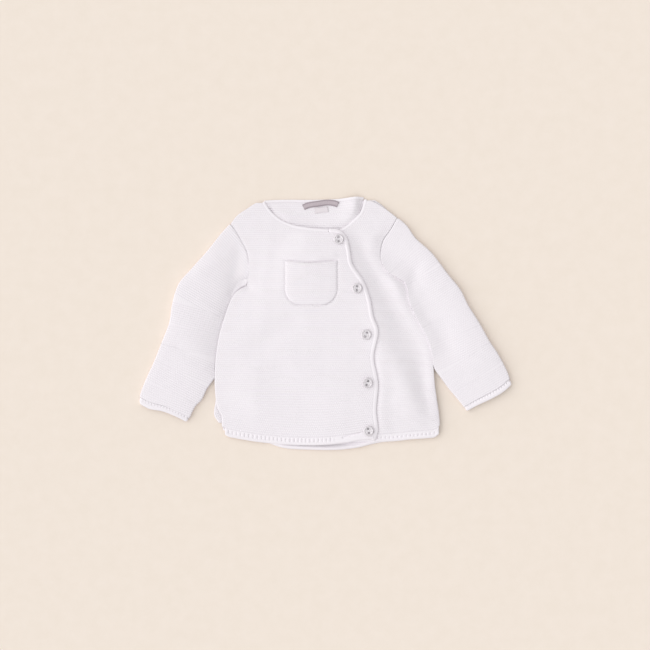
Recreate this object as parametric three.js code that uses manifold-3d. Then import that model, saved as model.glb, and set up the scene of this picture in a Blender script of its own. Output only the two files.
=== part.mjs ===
// Baby cardigan laid flat, front up: garter-stitch cotton, wrapped front with five buttons.
// Millimetres. The neck points to +Y, the wearer's right side lies at -X and +Z is up.
// The back rests on z = 0 and the other panels lie on it, one layer above the other.
import * as THREE from 'three';
import * as BufferGeometryUtils from 'three/addons/utils/BufferGeometryUtils.js';
import Module from 'manifold-3d';

const wasm = await Module();
wasm.setup();

// Driving dimensions
const CLOTH = 2.2;
const SEAM_GAP = 0.3;
const LAYER = CLOTH + SEAM_GAP;
const LAP_RISE = CLOTH + 0.5;
const SEAM_OFFSET = 0.6;
const SIDE_CLEARANCE = 0.9;
const HEM_CLEARANCE = 0.9;
const HEM_BAND = 9.6;
const HEM_RIB_PITCH = 4.9;
const HEM_RIB_RISE = 0.9;
const HEM_PLAIN_STEP = 11;
const CUFF_BAND = 6;
const CUFF_RIBS = 16;
const CUFF_RIB_RISE = 0.8;
const BOW_REACH = 0.3;
const STATION_CROWDING = 1.3;
const NECK_ROLL = 3.6;
const NECK_ROLL_HEIGHT = 2.8;
const EDGE_ROLL = 4.8;
const EDGE_ROLL_HEIGHT = 2.7;
const EDGE_CLEARANCE = 0.6;
const LAP_RAMP = { start: 86, end: 12 };
const SLEEVE_HEIGHT = { armhole: 4.9, middle: 6.2, cuff: 5.4 };
const POCKET = { left: -48, right: 13.8, bottom: 22.4, height: 52.8, dip: 2.6, corner: 19, gap: 0.7 };
const BUTTON = { diameter: 12, rim: 1.5, thickness: 2.4, dish: 0.9, hole: 1.6, holeSpacing: 3.8 };
const LABEL = { x: -6.4, y: 143, width: 42, height: 6.2, thickness: 1, turn: 0.09 };
const TAB = { x: -5.1, y: 136, width: 15.6, height: 6.6, thickness: 1, turn: 0.09 };

// Body outline, wearer's right (at -X), from the hem up to the underarm
const RIGHT_SIDE_BACK = [
  { x: -122.4, y: -130 },
  { x: -130.2, y: -121 },
  { x: -133.8, y: -112 },
  { x: -131.6, y: -92 },
  { x: -132.8, y: -68 },
  { x: -131.4, y: -41 },
  { x: -127.3, y: -15 },
  { x: -120.6, y: 8 },
  { x: -113.4, y: 28 },
  { x: -106, y: 38.5 },
  { x: -94.2, y: 45 },
];
const RIGHT_SIDE_FRONT = [
  { x: -120.6, y: -136 },
  { x: -124, y: -127 },
  { x: -124.6, y: -114 },
  { x: -130.4, y: -100 },
  ...RIGHT_SIDE_BACK.slice(4),
];
const RIGHT_ARMHOLE = [
  { x: -94.2, y: 45 },
  { x: -92.3, y: 58 },
  { x: -91.8, y: 74 },
  { x: -93.6, y: 85 },
  { x: -99, y: 96.6 },
  { x: -106.6, y: 109 },
  { x: -113.4, y: 119.4 },
];
const RIGHT_SHOULDER = [
  { x: -113.4, y: 119.4 },
  { x: -106.2, y: 129 },
  { x: -95, y: 137 },
  { x: -84, y: 144 },
  { x: -74, y: 148 },
];

// Body outline, wearer's left (at +X)
const LEFT_SIDE = [
  { x: 136, y: -134 },
  { x: 136.8, y: -124 },
  { x: 135, y: -104 },
  { x: 130.8, y: -72 },
  { x: 128.6, y: -48 },
  { x: 125.4, y: -28 },
  { x: 117, y: -9 },
  { x: 106, y: 11 },
  { x: 99.5, y: 28 },
  { x: 98.4, y: 40 },
  { x: 95.4, y: 48.4 },
  { x: 87, y: 54 },
  { x: 75.7, y: 60.6 },
  { x: 68.4, y: 69 },
];
const LEFT_ARMHOLE = [
  { x: 68.4, y: 69 },
  { x: 65.4, y: 82 },
  { x: 68.6, y: 98.6 },
  { x: 77.6, y: 112 },
  { x: 85.8, y: 126.6 },
];
const LEFT_SHOULDER = [
  { x: 85.8, y: 126.6 },
  { x: 76, y: 134.4 },
  { x: 64, y: 142.4 },
  { x: 52.6, y: 148 },
  { x: 46.4, y: 150.6 },
];

// Necklines and front edges
const BACK_NECK = [
  { x: -74, y: 147.6 },
  { x: -50, y: 148.6 },
  { x: -14, y: 148.4 },
  { x: 16, y: 149.6 },
  { x: 36, y: 152 },
  { x: 46.4, y: 151.4 },
];
const RIGHT_NECK = [
  { x: 17, y: 112.2 },
  { x: 3, y: 113.2 },
  { x: -18, y: 114.8 },
  { x: -38, y: 118.2 },
  { x: -54, y: 125 },
  { x: -65.4, y: 135 },
  { x: -73.4, y: 146.8 },
];
const LEFT_NECK = [
  { x: -10, y: 106 },
  { x: 6, y: 108.6 },
  { x: 21, y: 114.6 },
  { x: 32, y: 123 },
  { x: 42, y: 134 },
  { x: 46.6, y: 149.6 },
];
const RIGHT_FRONT_EDGE = [
  { x: 60.4, y: -138.6 },
  { x: 63, y: -127 },
  { x: 60.8, y: -103 },
  { x: 63, y: -76 },
  { x: 61.6, y: -62 },
  { x: 57.7, y: -39 },
  { x: 63, y: -10 },
  { x: 57, y: 9 },
  { x: 53.6, y: 29 },
  { x: 45.6, y: 51 },
  { x: 32.4, y: 71 },
  { x: 29.6, y: 86 },
  { x: 25.8, y: 102 },
  { x: 17, y: 112.2 },
];
const LEFT_FRONT_EDGE = [
  { x: 18, y: -139 },
  { x: 20, y: -70 },
  { x: 20, y: -10 },
  { x: 11, y: 28 },
  { x: -8, y: 72 },
  { x: -16, y: 96 },
  { x: -10, y: 106 },
];

// Lowest lines of the hems, from -X to +X
const BACK_HEM = [
  { x: -124, y: -128.6 },
  { x: -100, y: -134 },
  { x: -76, y: -140.6 },
  { x: -50, y: -149.4 },
  { x: -20, y: -151.4 },
  { x: 14, y: -151.6 },
  { x: 40, y: -148.6 },
  { x: 62, y: -143.4 },
  { x: 100, y: -138 },
  { x: 132, y: -131.6 },
];
const RIGHT_FRONT_HEM = [
  { x: -122, y: -133.4 },
  { x: -114, y: -136.4 },
  { x: -97, y: -139.6 },
  { x: -77, y: -142.6 },
  { x: -45, y: -145.4 },
  { x: -8, y: -146 },
  { x: 20, y: -143.6 },
  { x: 42, y: -140 },
  { x: 60.4, y: -138.2 },
];
const LEFT_FRONT_HEM = [
  { x: 18, y: -142 },
  { x: 74, y: -141.6 },
  { x: 102, y: -139 },
  { x: 122, y: -137.6 },
  { x: 131, y: -136.4 },
  { x: 136.4, y: -132 },
];

// Sleeves: outer edge from the shoulder to the cuff, inner edge below the body's side, cuff, and
// the swell at shares of the width from the outer to the inner edge, beside the body and below it
const ACROSS = [0, 0.12, 0.3, 0.45, 0.6, 0.75, 0.88, 1];
const RIGHT_SLEEVE = {
  outer: [
    { x: -114.2, y: 120 },
    { x: -124.6, y: 109 },
    { x: -141, y: 88.4 },
    { x: -160, y: 66.8 },
    { x: -176, y: 48 },
    { x: -183.6, y: 25 },
    { x: -187.4, y: 2 },
    { x: -195.6, y: -20 },
    { x: -206, y: -46 },
    { x: -216, y: -68 },
    { x: -222.4, y: -85 },
    { x: -222.8, y: -96 },
  ],
  innerEnd: [
    { x: -135.6, y: -70 },
    { x: -142, y: -79 },
    { x: -148, y: -91.4 },
    { x: -156, y: -100 },
    { x: -162, y: -112 },
    { x: -166.6, y: -118 },
  ],
  cuff: [
    { x: -222.8, y: -96 },
    { x: -211, y: -102.4 },
    { x: -195, y: -105.4 },
    { x: -180.6, y: -111 },
    { x: -166.6, y: -118 },
  ],
  beside: [0, 1.2, 2.5, 3, 2.7, 1.5, 0, -1.5],
  below: [0, 0.9, 1.5, 1.7, 1.7, 1.5, 0.8, 0],
  lean: 0,
};
const LEFT_SLEEVE = {
  outer: [
    { x: 86.4, y: 127.4 },
    { x: 97.8, y: 117.6 },
    { x: 108.6, y: 102.4 },
    { x: 128, y: 84.6 },
    { x: 147, y: 59.6 },
    { x: 162, y: 41 },
    { x: 171.6, y: 22 },
    { x: 184.8, y: 1 },
    { x: 196.4, y: -19.8 },
    { x: 206.4, y: -35 },
    { x: 217.6, y: -56 },
    { x: 223.2, y: -73 },
  ],
  innerEnd: [
    { x: 130.4, y: -55 },
    { x: 137.4, y: -64.4 },
    { x: 147, y: -77.6 },
    { x: 159, y: -92 },
    { x: 169.4, y: -105 },
  ],
  cuff: [
    { x: 223.2, y: -73 },
    { x: 211.4, y: -83 },
    { x: 196, y: -91.6 },
    { x: 183, y: -97.6 },
    { x: 169.4, y: -105 },
  ],
  beside: [1.4, 2.9, 2.7, 2, 1.2, 1, 1.8, 2.6],
  below: [1.2, 2.7, 2.8, 2.4, 1.9, 1.3, 0.6, 0],
  lean: 0.6,
};

// Large folds of the fronts, each a soft line down the body: at each place its height and its
// half widths to the right and to the left
const SWELL = 5;
const BODY_RIDGES = [
  [
    { x: 58, y: 100, height: 0.4, right: 8, left: 8 },
    { x: 70, y: 74, height: 1.2, right: 9, left: 8 },
    { x: 84, y: 43, height: 2, right: 10, left: 10 },
    { x: 101, y: 13, height: 2.4, right: 10, left: 12 },
    { x: 119, y: -12, height: 2.6, right: 10, left: 13 },
    { x: 126, y: -34, height: 2.6, right: 10, left: 11 },
    { x: 129, y: -62, height: 2.6, right: 9, left: 9 },
    { x: 132, y: -92, height: 2.4, right: 8, left: 8 },
    { x: 135, y: -124, height: 1.6, right: 7, left: 7 },
  ],
  [
    { x: 30, y: 104, height: 0.3, right: 10, left: 8 },
    { x: 38, y: 78, height: 0.8, right: 12, left: 8 },
    { x: 54, y: 44, height: 0.9, right: 14, left: 8 },
    { x: 64, y: 4, height: 1, right: 14, left: 8 },
    { x: 66, y: -36, height: 0.3, right: 14, left: 8 },
  ],
];
const BODY_TROUGHS = [
  [
    { x: 36, y: 110, height: 1.8, right: 9, left: 8 },
    { x: 51, y: 76, height: 3.8, right: 9, left: 15 },
    { x: 68, y: 44, height: 4.6, right: 10, left: 14 },
    { x: 86, y: 14, height: 5, right: 11, left: 18 },
    { x: 98, y: -7, height: 5, right: 12, left: 24 },
    { x: 106, y: -20, height: 5, right: 13, left: 28 },
    { x: 112, y: -36, height: 5, right: 11, left: 25 },
    { x: 115, y: -50, height: 4.8, right: 10, left: 20 },
    { x: 117, y: -66, height: 4.4, right: 9, left: 15 },
    { x: 120, y: -84, height: 3.6, right: 8, left: 12 },
    { x: 124, y: -100, height: 2.4, right: 7, left: 9 },
    { x: 128, y: -116, height: 0.8, right: 6, left: 8 },
  ],
  [
    { x: -96, y: 46, height: 1.4, right: 7, left: 7 },
    { x: -86, y: 38, height: 1, right: 7, left: 7 },
    { x: -70, y: 20, height: 0.7, right: 9, left: 9 },
  ],
];

const BUTTON_SEATS = [
  { x: 15.6, y: 100.8, turn: 1.1 },
  { x: 37.6, y: 42.2, turn: 1.3 },
  { x: 48.4, y: -13.2, turn: 1.9 },
  { x: 50, y: -71, turn: 0.7 },
  { x: 51.4, y: -128.4, turn: 1.2 },
];

// Curves

function smooth(rows, perSpan = 10) {
  const points = rows.map((row) => new THREE.Vector2(row.x, row.y));
  return new THREE.SplineCurve(points).getPoints((rows.length - 1) * perSpan);
}

// A polyline moved sideways, to its left as it runs for a positive distance
function offset(line, distance) {
  return line.map((point, index) => {
    const before = line[Math.max(0, index - 1)];
    const after = line[Math.min(line.length - 1, index + 1)];
    const along = after.clone().sub(before).normalize();
    return new THREE.Vector2(point.x - along.y * distance, point.y + along.x * distance);
  });
}

// Where a rising polyline crosses a height
function xAt(line, y) {
  for (let index = 1; index < line.length; index += 1) {
    const low = line[index - 1];
    const high = line[index];
    if (y >= low.y && y <= high.y && high.y > low.y) {
      return THREE.MathUtils.mapLinear(y, low.y, high.y, low.x, high.x);
    }
  }
  return y < line[0].y ? line[0].x : line[line.length - 1].x;
}

// Height of a polyline that runs across
function yAt(line, x) {
  const swapped = line.map((point) => new THREE.Vector2(point.y, point.x));
  return xAt(swapped, x);
}

// A point at a share of a polyline's length
function pointAt(line, share) {
  const steps = line.slice(1).map((point, index) => point.distanceTo(line[index]));
  let left = share * steps.reduce((sum, step) => sum + step, 0);
  for (let index = 0; index < steps.length; index += 1) {
    if (left <= steps[index] || index === steps.length - 1) {
      return line[index].clone().lerp(line[index + 1], Math.min(1, left / steps[index]));
    }
    left -= steps[index];
  }
  return line[line.length - 1].clone();
}

function lengthOf(line) {
  return line.slice(1).reduce((sum, point, index) => sum + point.distanceTo(line[index]), 0);
}

// Heights of the layers

function foldHeight(folds, x, y) {
  const heights = folds.flatMap((fold) => fold.slice(1).map((end, index) => {
    const start = fold[index];
    const dx = end.x - start.x;
    const dy = end.y - start.y;
    const along = ((x - start.x) * dx + (y - start.y) * dy) / (dx * dx + dy * dy);
    const share = THREE.MathUtils.clamp(along, 0, 1);
    const side = dx * (y - start.y) - dy * (x - start.x) > 0 ? 'right' : 'left';
    const width = THREE.MathUtils.lerp(start[side], end[side], share);
    const distance = Math.hypot(x - start.x - share * dx, y - start.y - share * dy) / width;
    return THREE.MathUtils.lerp(start.height, end.height, share) * Math.exp(-distance * distance);
  }));
  return Math.max(0, ...heights);
}

const leftFrontEdge = smooth(LEFT_FRONT_EDGE);
const outlineRight = [...smooth(RIGHT_SIDE_BACK), ...smooth(RIGHT_ARMHOLE), ...smooth(RIGHT_SHOULDER)];
const outlineLeft = [...smooth(LEFT_SIDE), ...smooth(LEFT_ARMHOLE), ...smooth(LEFT_SHOULDER)];

// The body stands proud of its edges, and its folds run down from there
function bodySwell(x, y) {
  const { smoothstep } = THREE.MathUtils;
  const fromRight = smoothstep(x - xAt(outlineRight, y), -2, 52);
  const sides = (0.35 + 0.65 * fromRight) * smoothstep(xAt(outlineLeft, y) - x, -2, 26);
  const ends = smoothstep(y, -152, -104) * (1 - smoothstep(y, 88, 140));
  const soft = (SWELL - foldHeight(BODY_TROUGHS, x, y)) * sides * ends;
  return Math.max(0, soft + foldHeight(BODY_RIDGES, x, y));
}

function lapRise(x, y) {
  const edge = xAt(leftFrontEdge, Math.min(y, 96));
  return LAP_RISE * THREE.MathUtils.smoothstep(x, edge - LAP_RAMP.start, edge - LAP_RAMP.end);
}

function leftFrontBase(x, y) {
  return LAYER + bodySwell(x, y);
}

function rightFrontBase(x, y) {
  return leftFrontBase(x, y) + lapRise(x, y);
}

function flatBase() {
  return 0;
}

// Solids

function solid(vertices, triangles) {
  const geometry = new THREE.BufferGeometry();
  const numbers = vertices.flatMap((vertex) => [vertex.x, vertex.y, vertex.z]);
  geometry.setAttribute('position', new THREE.Float32BufferAttribute(numbers, 3));
  geometry.setIndex(triangles);
  geometry.computeVertexNormals();
  return geometry;
}

// Two grids of the same size, one above the other, closed round the rim
function closedSheet(top, bottom) {
  const rows = top.length;
  const columns = top[0].length;
  const vertices = [...top.flat(), ...bottom.flat()];
  const upper = (row, column) => row * columns + column;
  const lower = (row, column) => rows * columns + upper(row, column);
  const triangles = [];
  const quad = (a, b, c, d) => triangles.push(a, b, c, a, c, d);
  for (let row = 0; row < rows - 1; row += 1) {
    for (let column = 0; column < columns - 1; column += 1) {
      quad(upper(row, column), upper(row, column + 1),
        upper(row + 1, column + 1), upper(row + 1, column));
      quad(lower(row, column), lower(row + 1, column),
        lower(row + 1, column + 1), lower(row, column + 1));
    }
    quad(upper(row, 0), upper(row + 1, 0), lower(row + 1, 0), lower(row, 0));
    quad(upper(row + 1, columns - 1), upper(row, columns - 1),
      lower(row, columns - 1), lower(row + 1, columns - 1));
  }
  for (let column = 0; column < columns - 1; column += 1) {
    quad(upper(0, column + 1), upper(0, column), lower(0, column), lower(0, column + 1));
    quad(upper(rows - 1, column), upper(rows - 1, column + 1),
      lower(rows - 1, column + 1), lower(rows - 1, column));
  }
  return solid(vertices, triangles);
}

// A wall round a tube: outer and inner rings at each station, closed at both mouths
function closedTube(outer, inner) {
  const stations = outer.length;
  const around = outer[0].length;
  const vertices = [...outer.flat(), ...inner.flat()];
  const out = (station, step) => station * around + (step % around);
  const into = (station, step) => stations * around + out(station, step);
  const triangles = [];
  const quad = (a, b, c, d) => triangles.push(a, b, c, a, c, d);
  for (let step = 0; step < around; step += 1) {
    for (let station = 0; station < stations - 1; station += 1) {
      quad(out(station, step), out(station, step + 1),
        out(station + 1, step + 1), out(station + 1, step));
      quad(into(station, step), into(station + 1, step),
        into(station + 1, step + 1), into(station, step + 1));
    }
    quad(out(0, step + 1), out(0, step), into(0, step), into(0, step + 1));
    const last = stations - 1;
    quad(out(last, step), out(last, step + 1), into(last, step + 1), into(last, step));
  }
  return solid(vertices, triangles);
}

// A tube of small closed sections with a fan at each end
function closedRoll(rings) {
  const around = rings[0].length;
  const vertices = rings.flat();
  const last = (rings.length - 1) * around;
  const triangles = [];
  for (let ring = 0; ring < rings.length - 1; ring += 1) {
    for (let step = 0; step < around; step += 1) {
      const a = ring * around + step;
      const b = ring * around + ((step + 1) % around);
      triangles.push(a, b, b + around, a, b + around, a + around);
    }
  }
  for (let step = 1; step < around - 1; step += 1) {
    triangles.push(0, step + 1, step);
    triangles.push(last, last + step, last + step + 1);
  }
  return solid(vertices, triangles);
}

// A mesh may come out inside before outside: its signed volume tells which
function facingOut(geometry) {
  const place = geometry.getAttribute('position');
  const index = Array.from(geometry.getIndex().array);
  const corner = (number) => new THREE.Vector3().fromBufferAttribute(place, index[number]);
  let volume = 0;
  for (let start = 0; start < index.length; start += 3) {
    volume += corner(start).dot(corner(start + 1).cross(corner(start + 2)));
  }
  if (volume < 0) {
    geometry.setIndex(index.reverse());
    geometry.computeVertexNormals();
  }
  return geometry;
}

// Panels

// Rows of heights: even steps and the heights where the outline turns fast
function rowHeights(low, high, step, extra) {
  const count = Math.round((high - low) / step);
  const even = Array.from({ length: count + 1 }, (_, row) => low + ((high - low) * row) / count);
  const turns = extra.filter((height) => height > low && height < high);
  const all = [...even.filter((height) => turns.every((turn) => Math.abs(turn - height) > step / 3)),
    ...turns, low, high];
  return [...new Set(all)].sort((a, b) => a - b);
}

// Columns across a row, closer together near both edges
function columnPlaces(left, right, middle) {
  const width = right - left;
  const near = [0, 1.4, 8].map((place) => place * Math.min(1, width / 60));
  const start = left + near[near.length - 1];
  const span = right - near[near.length - 1] - start;
  const inner = Array.from({ length: middle }, (_, step) => start + (span * (step + 1)) / (middle + 1));
  return [...near.map((place) => left + place), ...inner,
    ...near.map((place) => right - place).reverse()];
}

// A panel between two side lines, its lowest rows bent to the hem line
function panel({ left, right, heights, middle, base, lowest, bend = 60, highest = null }) {
  const bottom = heights[0];
  const peak = heights[heights.length - 1];
  const place = (x, y) => {
    const low = 1 - THREE.MathUtils.smoothstep(y, bottom, bottom + bend);
    const shift = low * (yAt(lowest, x) - bottom);
    const high = highest ? THREE.MathUtils.smoothstep(y, peak - 12, peak) : 0;
    return y + shift + (highest ? high * (yAt(highest, x) - peak) : 0);
  };
  const grid = heights.map((y) => columnPlaces(xAt(left, y), xAt(right, y), middle)
    .map((x) => new THREE.Vector3(x, place(x, y), base(x, y))));
  const last = grid[0].length - 1;
  const top = grid.map((row, number) => row.map((point, column) => {
    const atEdge = column === 0 || column === last || number === 0 || number === grid.length - 1;
    const thickness = atEdge ? CLOTH * 0.7 : CLOTH;
    return new THREE.Vector3(point.x, point.y, point.z + thickness);
  }));
  return closedSheet(top, grid);
}

const rightArmhole = smooth(RIGHT_ARMHOLE);
const leftArmhole = smooth(LEFT_ARMHOLE);
const rightShoulder = smooth(RIGHT_SHOULDER);
const leftShoulder = smooth(LEFT_SHOULDER);
const rightSideBack = smooth(RIGHT_SIDE_BACK);
const rightSideFront = smooth(RIGHT_SIDE_FRONT);
const leftSide = smooth(LEFT_SIDE);
const rightNeck = smooth(RIGHT_NECK);
const leftNeck = smooth(LEFT_NECK);
const backNeck = smooth(BACK_NECK);
const rightFrontEdge = smooth(RIGHT_FRONT_EDGE);
const backHem = smooth(BACK_HEM);
const rightFrontHem = smooth(RIGHT_FRONT_HEM);
const leftFrontHem = smooth(LEFT_FRONT_HEM);

const backRightLine = [...rightSideBack, ...rightArmhole.slice(1), ...rightShoulder.slice(1)];
const frontRightLine = [...rightSideFront, ...rightArmhole.slice(1), ...rightShoulder.slice(1)];
const leftLine = [...leftSide, ...leftArmhole.slice(1), ...leftShoulder.slice(1)];
const TURNS = [34, 39, 43, 45, 48.4, 51, 54, 57.5, 61, 65, 69, 74, 119.4, 126.6];
const NECK_TURNS = [101, 104, 106, 107.2, 108.6, 110.4, 112.6, 115, 118, 122, 130, 137];

function evenPlaces(from, to, step) {
  const count = Math.round((to - from) / step);
  return Array.from({ length: count }, (_, place) => from + ((to - from) * place) / count);
}

function raised(line, distance) {
  return line.map((point) => new THREE.Vector2(point.x, point.y + distance));
}

function backPanel() {
  const roll = raised(backNeck, -NECK_ROLL - SEAM_GAP);
  return panel({
    left: backRightLine,
    right: leftLine,
    heights: rowHeights(-124, 145, 8.5, TURNS),
    middle: 6,
    base: flatBase,
    lowest: raised(backHem, HEM_BAND + HEM_CLEARANCE),
    highest: roll,
  });
}

function rightFrontPanel() {
  const edge = offset(rightFrontEdge, EDGE_ROLL + EDGE_CLEARANCE);
  const neck = offset(rightNeck, NECK_ROLL + SEAM_GAP);
  const corner = edge.filter((point) => point.y < neck[0].y - 1);
  return panel({
    left: frontRightLine,
    right: [...corner, ...neck.filter((point) => point.y > corner[corner.length - 1].y)],
    heights: rowHeights(-128, 143.5, 8.5, [...TURNS, 105, 108, 109.6, 111, 113, 116, 121, 130, 136]),
    middle: 8,
    base: rightFrontBase,
    lowest: raised(rightFrontHem, HEM_BAND + HEM_CLEARANCE),
  });
}

function leftFrontPanel() {
  const neck = offset(leftNeck, -NECK_ROLL - SEAM_GAP);
  return panel({
    left: [...leftFrontEdge.filter((point) => point.y < neck[0].y - 1), ...neck],
    right: leftLine,
    heights: rowHeights(-128, 145, 8, [...TURNS, ...NECK_TURNS]),
    middle: 5,
    base: leftFrontBase,
    lowest: raised(leftFrontHem, HEM_BAND + HEM_CLEARANCE),
  });
}

// A hem band along a lowest line. Where it shows, every second column is a raised rib
function hemBand(line, ends, ribbed, base) {
  const rows = [0, 0.14, 0.5, 1];
  const ribs = Math.round((ribbed.right - ribbed.left) / HEM_RIB_PITCH);
  const columns = [
    ...evenPlaces(ends.left, ribbed.left, HEM_PLAIN_STEP),
    ...evenPlaces(ribbed.left, ribbed.right, (ribbed.right - ribbed.left) / ribs / 2),
    ...evenPlaces(ribbed.right, ends.right, HEM_PLAIN_STEP),
    ends.right,
  ];
  const isRib = (x) => {
    const half = ((x - ribbed.left) / (ribbed.right - ribbed.left)) * ribs * 2;
    return x > ribbed.left && x < ribbed.right && Math.round(half) % 2 === 1;
  };
  const bottom = rows.map((row) => columns.map((x) => {
    const y = yAt(line, x) + row * HEM_BAND;
    return new THREE.Vector3(x, y, base(x, y));
  }));
  const top = bottom.map((row, number) => row.map((point) => {
    const atEdge = number === 0 || number === rows.length - 1;
    const shows = !atEdge && number <= ribbed.rows;
    const rib = shows && isRib(point.x) ? HEM_RIB_RISE : 0;
    return new THREE.Vector3(point.x, point.y, point.z + (atEdge ? CLOTH * 0.7 : CLOTH) + rib);
  }));
  return closedSheet(top, bottom);
}

// A rolled edge: an eight-sided section along a line, on the height of what carries it
function rolledEdge(line, width, height, stations, base) {
  const rings = Array.from({ length: stations + 1 }, (_, station) => {
    const share = station / stations;
    const centre = pointAt(line, share);
    const ahead = pointAt(line, Math.min(1, share + 0.01));
    const behind = pointAt(line, Math.max(0, share - 0.01));
    const along = ahead.sub(behind).normalize();
    return Array.from({ length: 8 }, (_, step) => {
      const angle = (step / 8 + 1 / 16) * Math.PI * 2;
      const spread = Math.sign(Math.cos(angle)) * Math.abs(Math.cos(angle)) ** 0.7;
      const lift = Math.sign(Math.sin(angle)) * Math.abs(Math.sin(angle)) ** 0.7;
      const across = (spread * width) / 2 / Math.cos(Math.PI / 8) ** 0.7;
      const up = height / 2 + (lift * height) / 2 / Math.cos(Math.PI / 8) ** 0.7;
      return new THREE.Vector3(centre.x - along.y * across, centre.y + along.x * across,
        base(centre.x, centre.y) + up);
    });
  });
  return facingOut(closedRoll(rings));
}

// Sleeves

// How far a line bows away from the straight one between its ends
function bow(line, share) {
  return pointAt(line, share).sub(line[0].clone().lerp(line[line.length - 1], share));
}

// The plan of a sleeve: straight across, bowed near both ends like the armhole and the cuff
function sleevePlan({ armhole, cuff, outer, inner }) {
  return (down, across) => {
    const nearArmhole = Math.max(0, 1 - down / BOW_REACH) ** 2;
    const nearCuff = Math.max(0, 1 - (1 - down) / BOW_REACH) ** 2;
    return pointAt(outer, down).lerp(pointAt(inner, down), across)
      .add(bow(armhole, across).multiplyScalar(nearArmhole))
      .add(bow(cuff, across).multiplyScalar(nearCuff));
  };
}

function sleeveHeight(down) {
  const { armhole, middle, cuff } = SLEEVE_HEIGHT;
  const swell = Math.sin(Math.PI * down);
  return THREE.MathUtils.lerp(armhole, cuff, down) + swell * (middle - (armhole + cuff) / 2);
}

function stepValue(values, across) {
  const next = Math.max(1, ACROSS.findIndex((share) => share >= across));
  const share = (across - ACROSS[next - 1]) / (ACROSS[next] - ACROSS[next - 1]);
  return THREE.MathUtils.lerp(values[next - 1], values[next], share);
}

// How far the top of a sleeve stands above its flattened form
function sleeveSwell({ beside, below, lean, parting }, down, across) {
  const { smoothstep, lerp } = THREE.MathUtils;
  const change = smoothstep(down, parting - 0.14, parting + 0.14);
  const height = lerp(stepValue(beside, across), stepValue(below, across), change);
  const atSeam = lerp(0.4 + lean * across, 1, smoothstep(down, 0, 0.24));
  return height * atSeam * (1 - 0.6 * smoothstep(down, 0.76, 1));
}

// One ring of a flattened tube: the top from outer to inner edge, then the underside back
function flatRing(edges, plan, down, topSteps, underSteps, wallInset, lift) {
  const start = plan(down, 0);
  const end = plan(down, 1);
  const width = start.distanceTo(end);
  const half = sleeveHeight(down) / 2;
  const reach = half - wallInset;
  const round = half * 1.1;
  const capSteps = 3;
  const place = (inward, height, above) => {
    const across = THREE.MathUtils.clamp((inward + wallInset) / width, 0, 1);
    const point = plan(down, across);
    const swell = above ? sleeveSwell(edges, down, across) * Math.min(1, height / reach) : 0;
    return new THREE.Vector3(point.x, point.y, half + height + swell);
  };
  const inside = width - 2 * wallInset;
  const curve = round - wallInset * 0.5;
  const points = [];
  const cap = (fromStart, rising) => {
    for (let step = 0; step <= capSteps; step += 1) {
      const angle = (step / capSteps) * (Math.PI / 2);
      const inward = curve * (1 - (rising ? Math.cos(angle) : Math.sin(angle)));
      const height = reach * (rising ? Math.sin(angle) : Math.cos(angle));
      points.push({ inward: fromStart ? inward : inside - inward, height });
    }
  };
  cap(true, true);
  for (let step = 1; step < topSteps; step += 1) {
    points.push({ inward: curve + ((inside - 2 * curve) * step) / topSteps, height: reach, step });
  }
  cap(false, false);
  const topCount = points.length;
  const lowCap = (fromStart, rising) => {
    for (let step = 1; step <= capSteps; step += 1) {
      const angle = (step / capSteps) * (Math.PI / 2);
      const inward = curve * (1 - (rising ? Math.cos(angle) : Math.sin(angle)));
      const height = -reach * (rising ? Math.sin(angle) : Math.cos(angle));
      points.push({ inward: fromStart ? inward : inside - inward, height });
    }
  };
  lowCap(false, true);
  for (let step = underSteps - 1; step > 0; step -= 1) {
    points.push({ inward: curve + ((inside - 2 * curve) * step) / underSteps, height: -reach });
  }
  points.push({ inward: curve, height: -reach });
  for (let step = 1; step < capSteps; step += 1) {
    const angle = (step / capSteps) * (Math.PI / 2);
    points.push({ inward: curve * (1 - Math.sin(angle)), height: -reach * Math.cos(angle) });
  }
  return points.map((point, number) => {
    const above = number < topCount && point.height > 0;
    const extra = above && lift ? lift(point.step ?? 0) : 0;
    return place(point.inward, point.height + extra, above);
  });
}

function sleeveEdges(shape, side, armhole, outward) {
  const top = offset(armhole, outward * SEAM_OFFSET).reverse();
  const underarm = top[top.length - 1];
  const beside = offset(side, outward * SIDE_CLEARANCE).reverse();
  const from = beside.findIndex((point) => point.y < underarm.y - 1.5);
  const joined = beside.filter((point, number) => number >= from && point.y > shape.innerEnd[0].y + 4);
  const inner = [underarm, ...joined, ...smooth(shape.innerEnd)];
  const outer = [top[0], ...smooth(shape.outer).slice(2)];
  const parting = lengthOf([underarm, ...joined]) / lengthOf(inner);
  const { beside: besideSwell, below, lean } = shape;
  return { armhole: top, cuff: smooth(shape.cuff), outer, inner, parting, beside: besideSwell, below, lean };
}

function sleeveTube(edges, stations, from, to, topSteps, underSteps, lift) {
  const plan = sleevePlan(edges);
  const outer = [];
  const inner = [];
  for (let station = 0; station <= stations; station += 1) {
    const share = station / stations;
    const down = THREE.MathUtils.lerp(from, to, share ** STATION_CROWDING);
    const rib = lift ? (step) => lift(share, step) : null;
    outer.push(flatRing(edges, plan, down, topSteps, underSteps, 0, rib));
    inner.push(flatRing(edges, plan, down, topSteps, underSteps, CLOTH, null));
  }
  return facingOut(closedTube(outer, inner));
}

function cuffStart(edges) {
  return 1 - CUFF_BAND / Math.min(lengthOf(edges.outer), lengthOf(edges.inner));
}

function sleeve(edges) {
  const seam = SEAM_OFFSET / lengthOf(edges.outer);
  return sleeveTube(edges, 18, 0, cuffStart(edges) - seam, 8, 5, null);
}

function cuff(edges) {
  const rib = (share, step) => (share > 0.2 && share < 0.8 && step % 2 === 1 ? CUFF_RIB_RISE : 0);
  return sleeveTube(edges, 3, cuffStart(edges), 1, CUFF_RIBS * 2, 6, rib);
}

// Pocket, buttons, label

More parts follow.
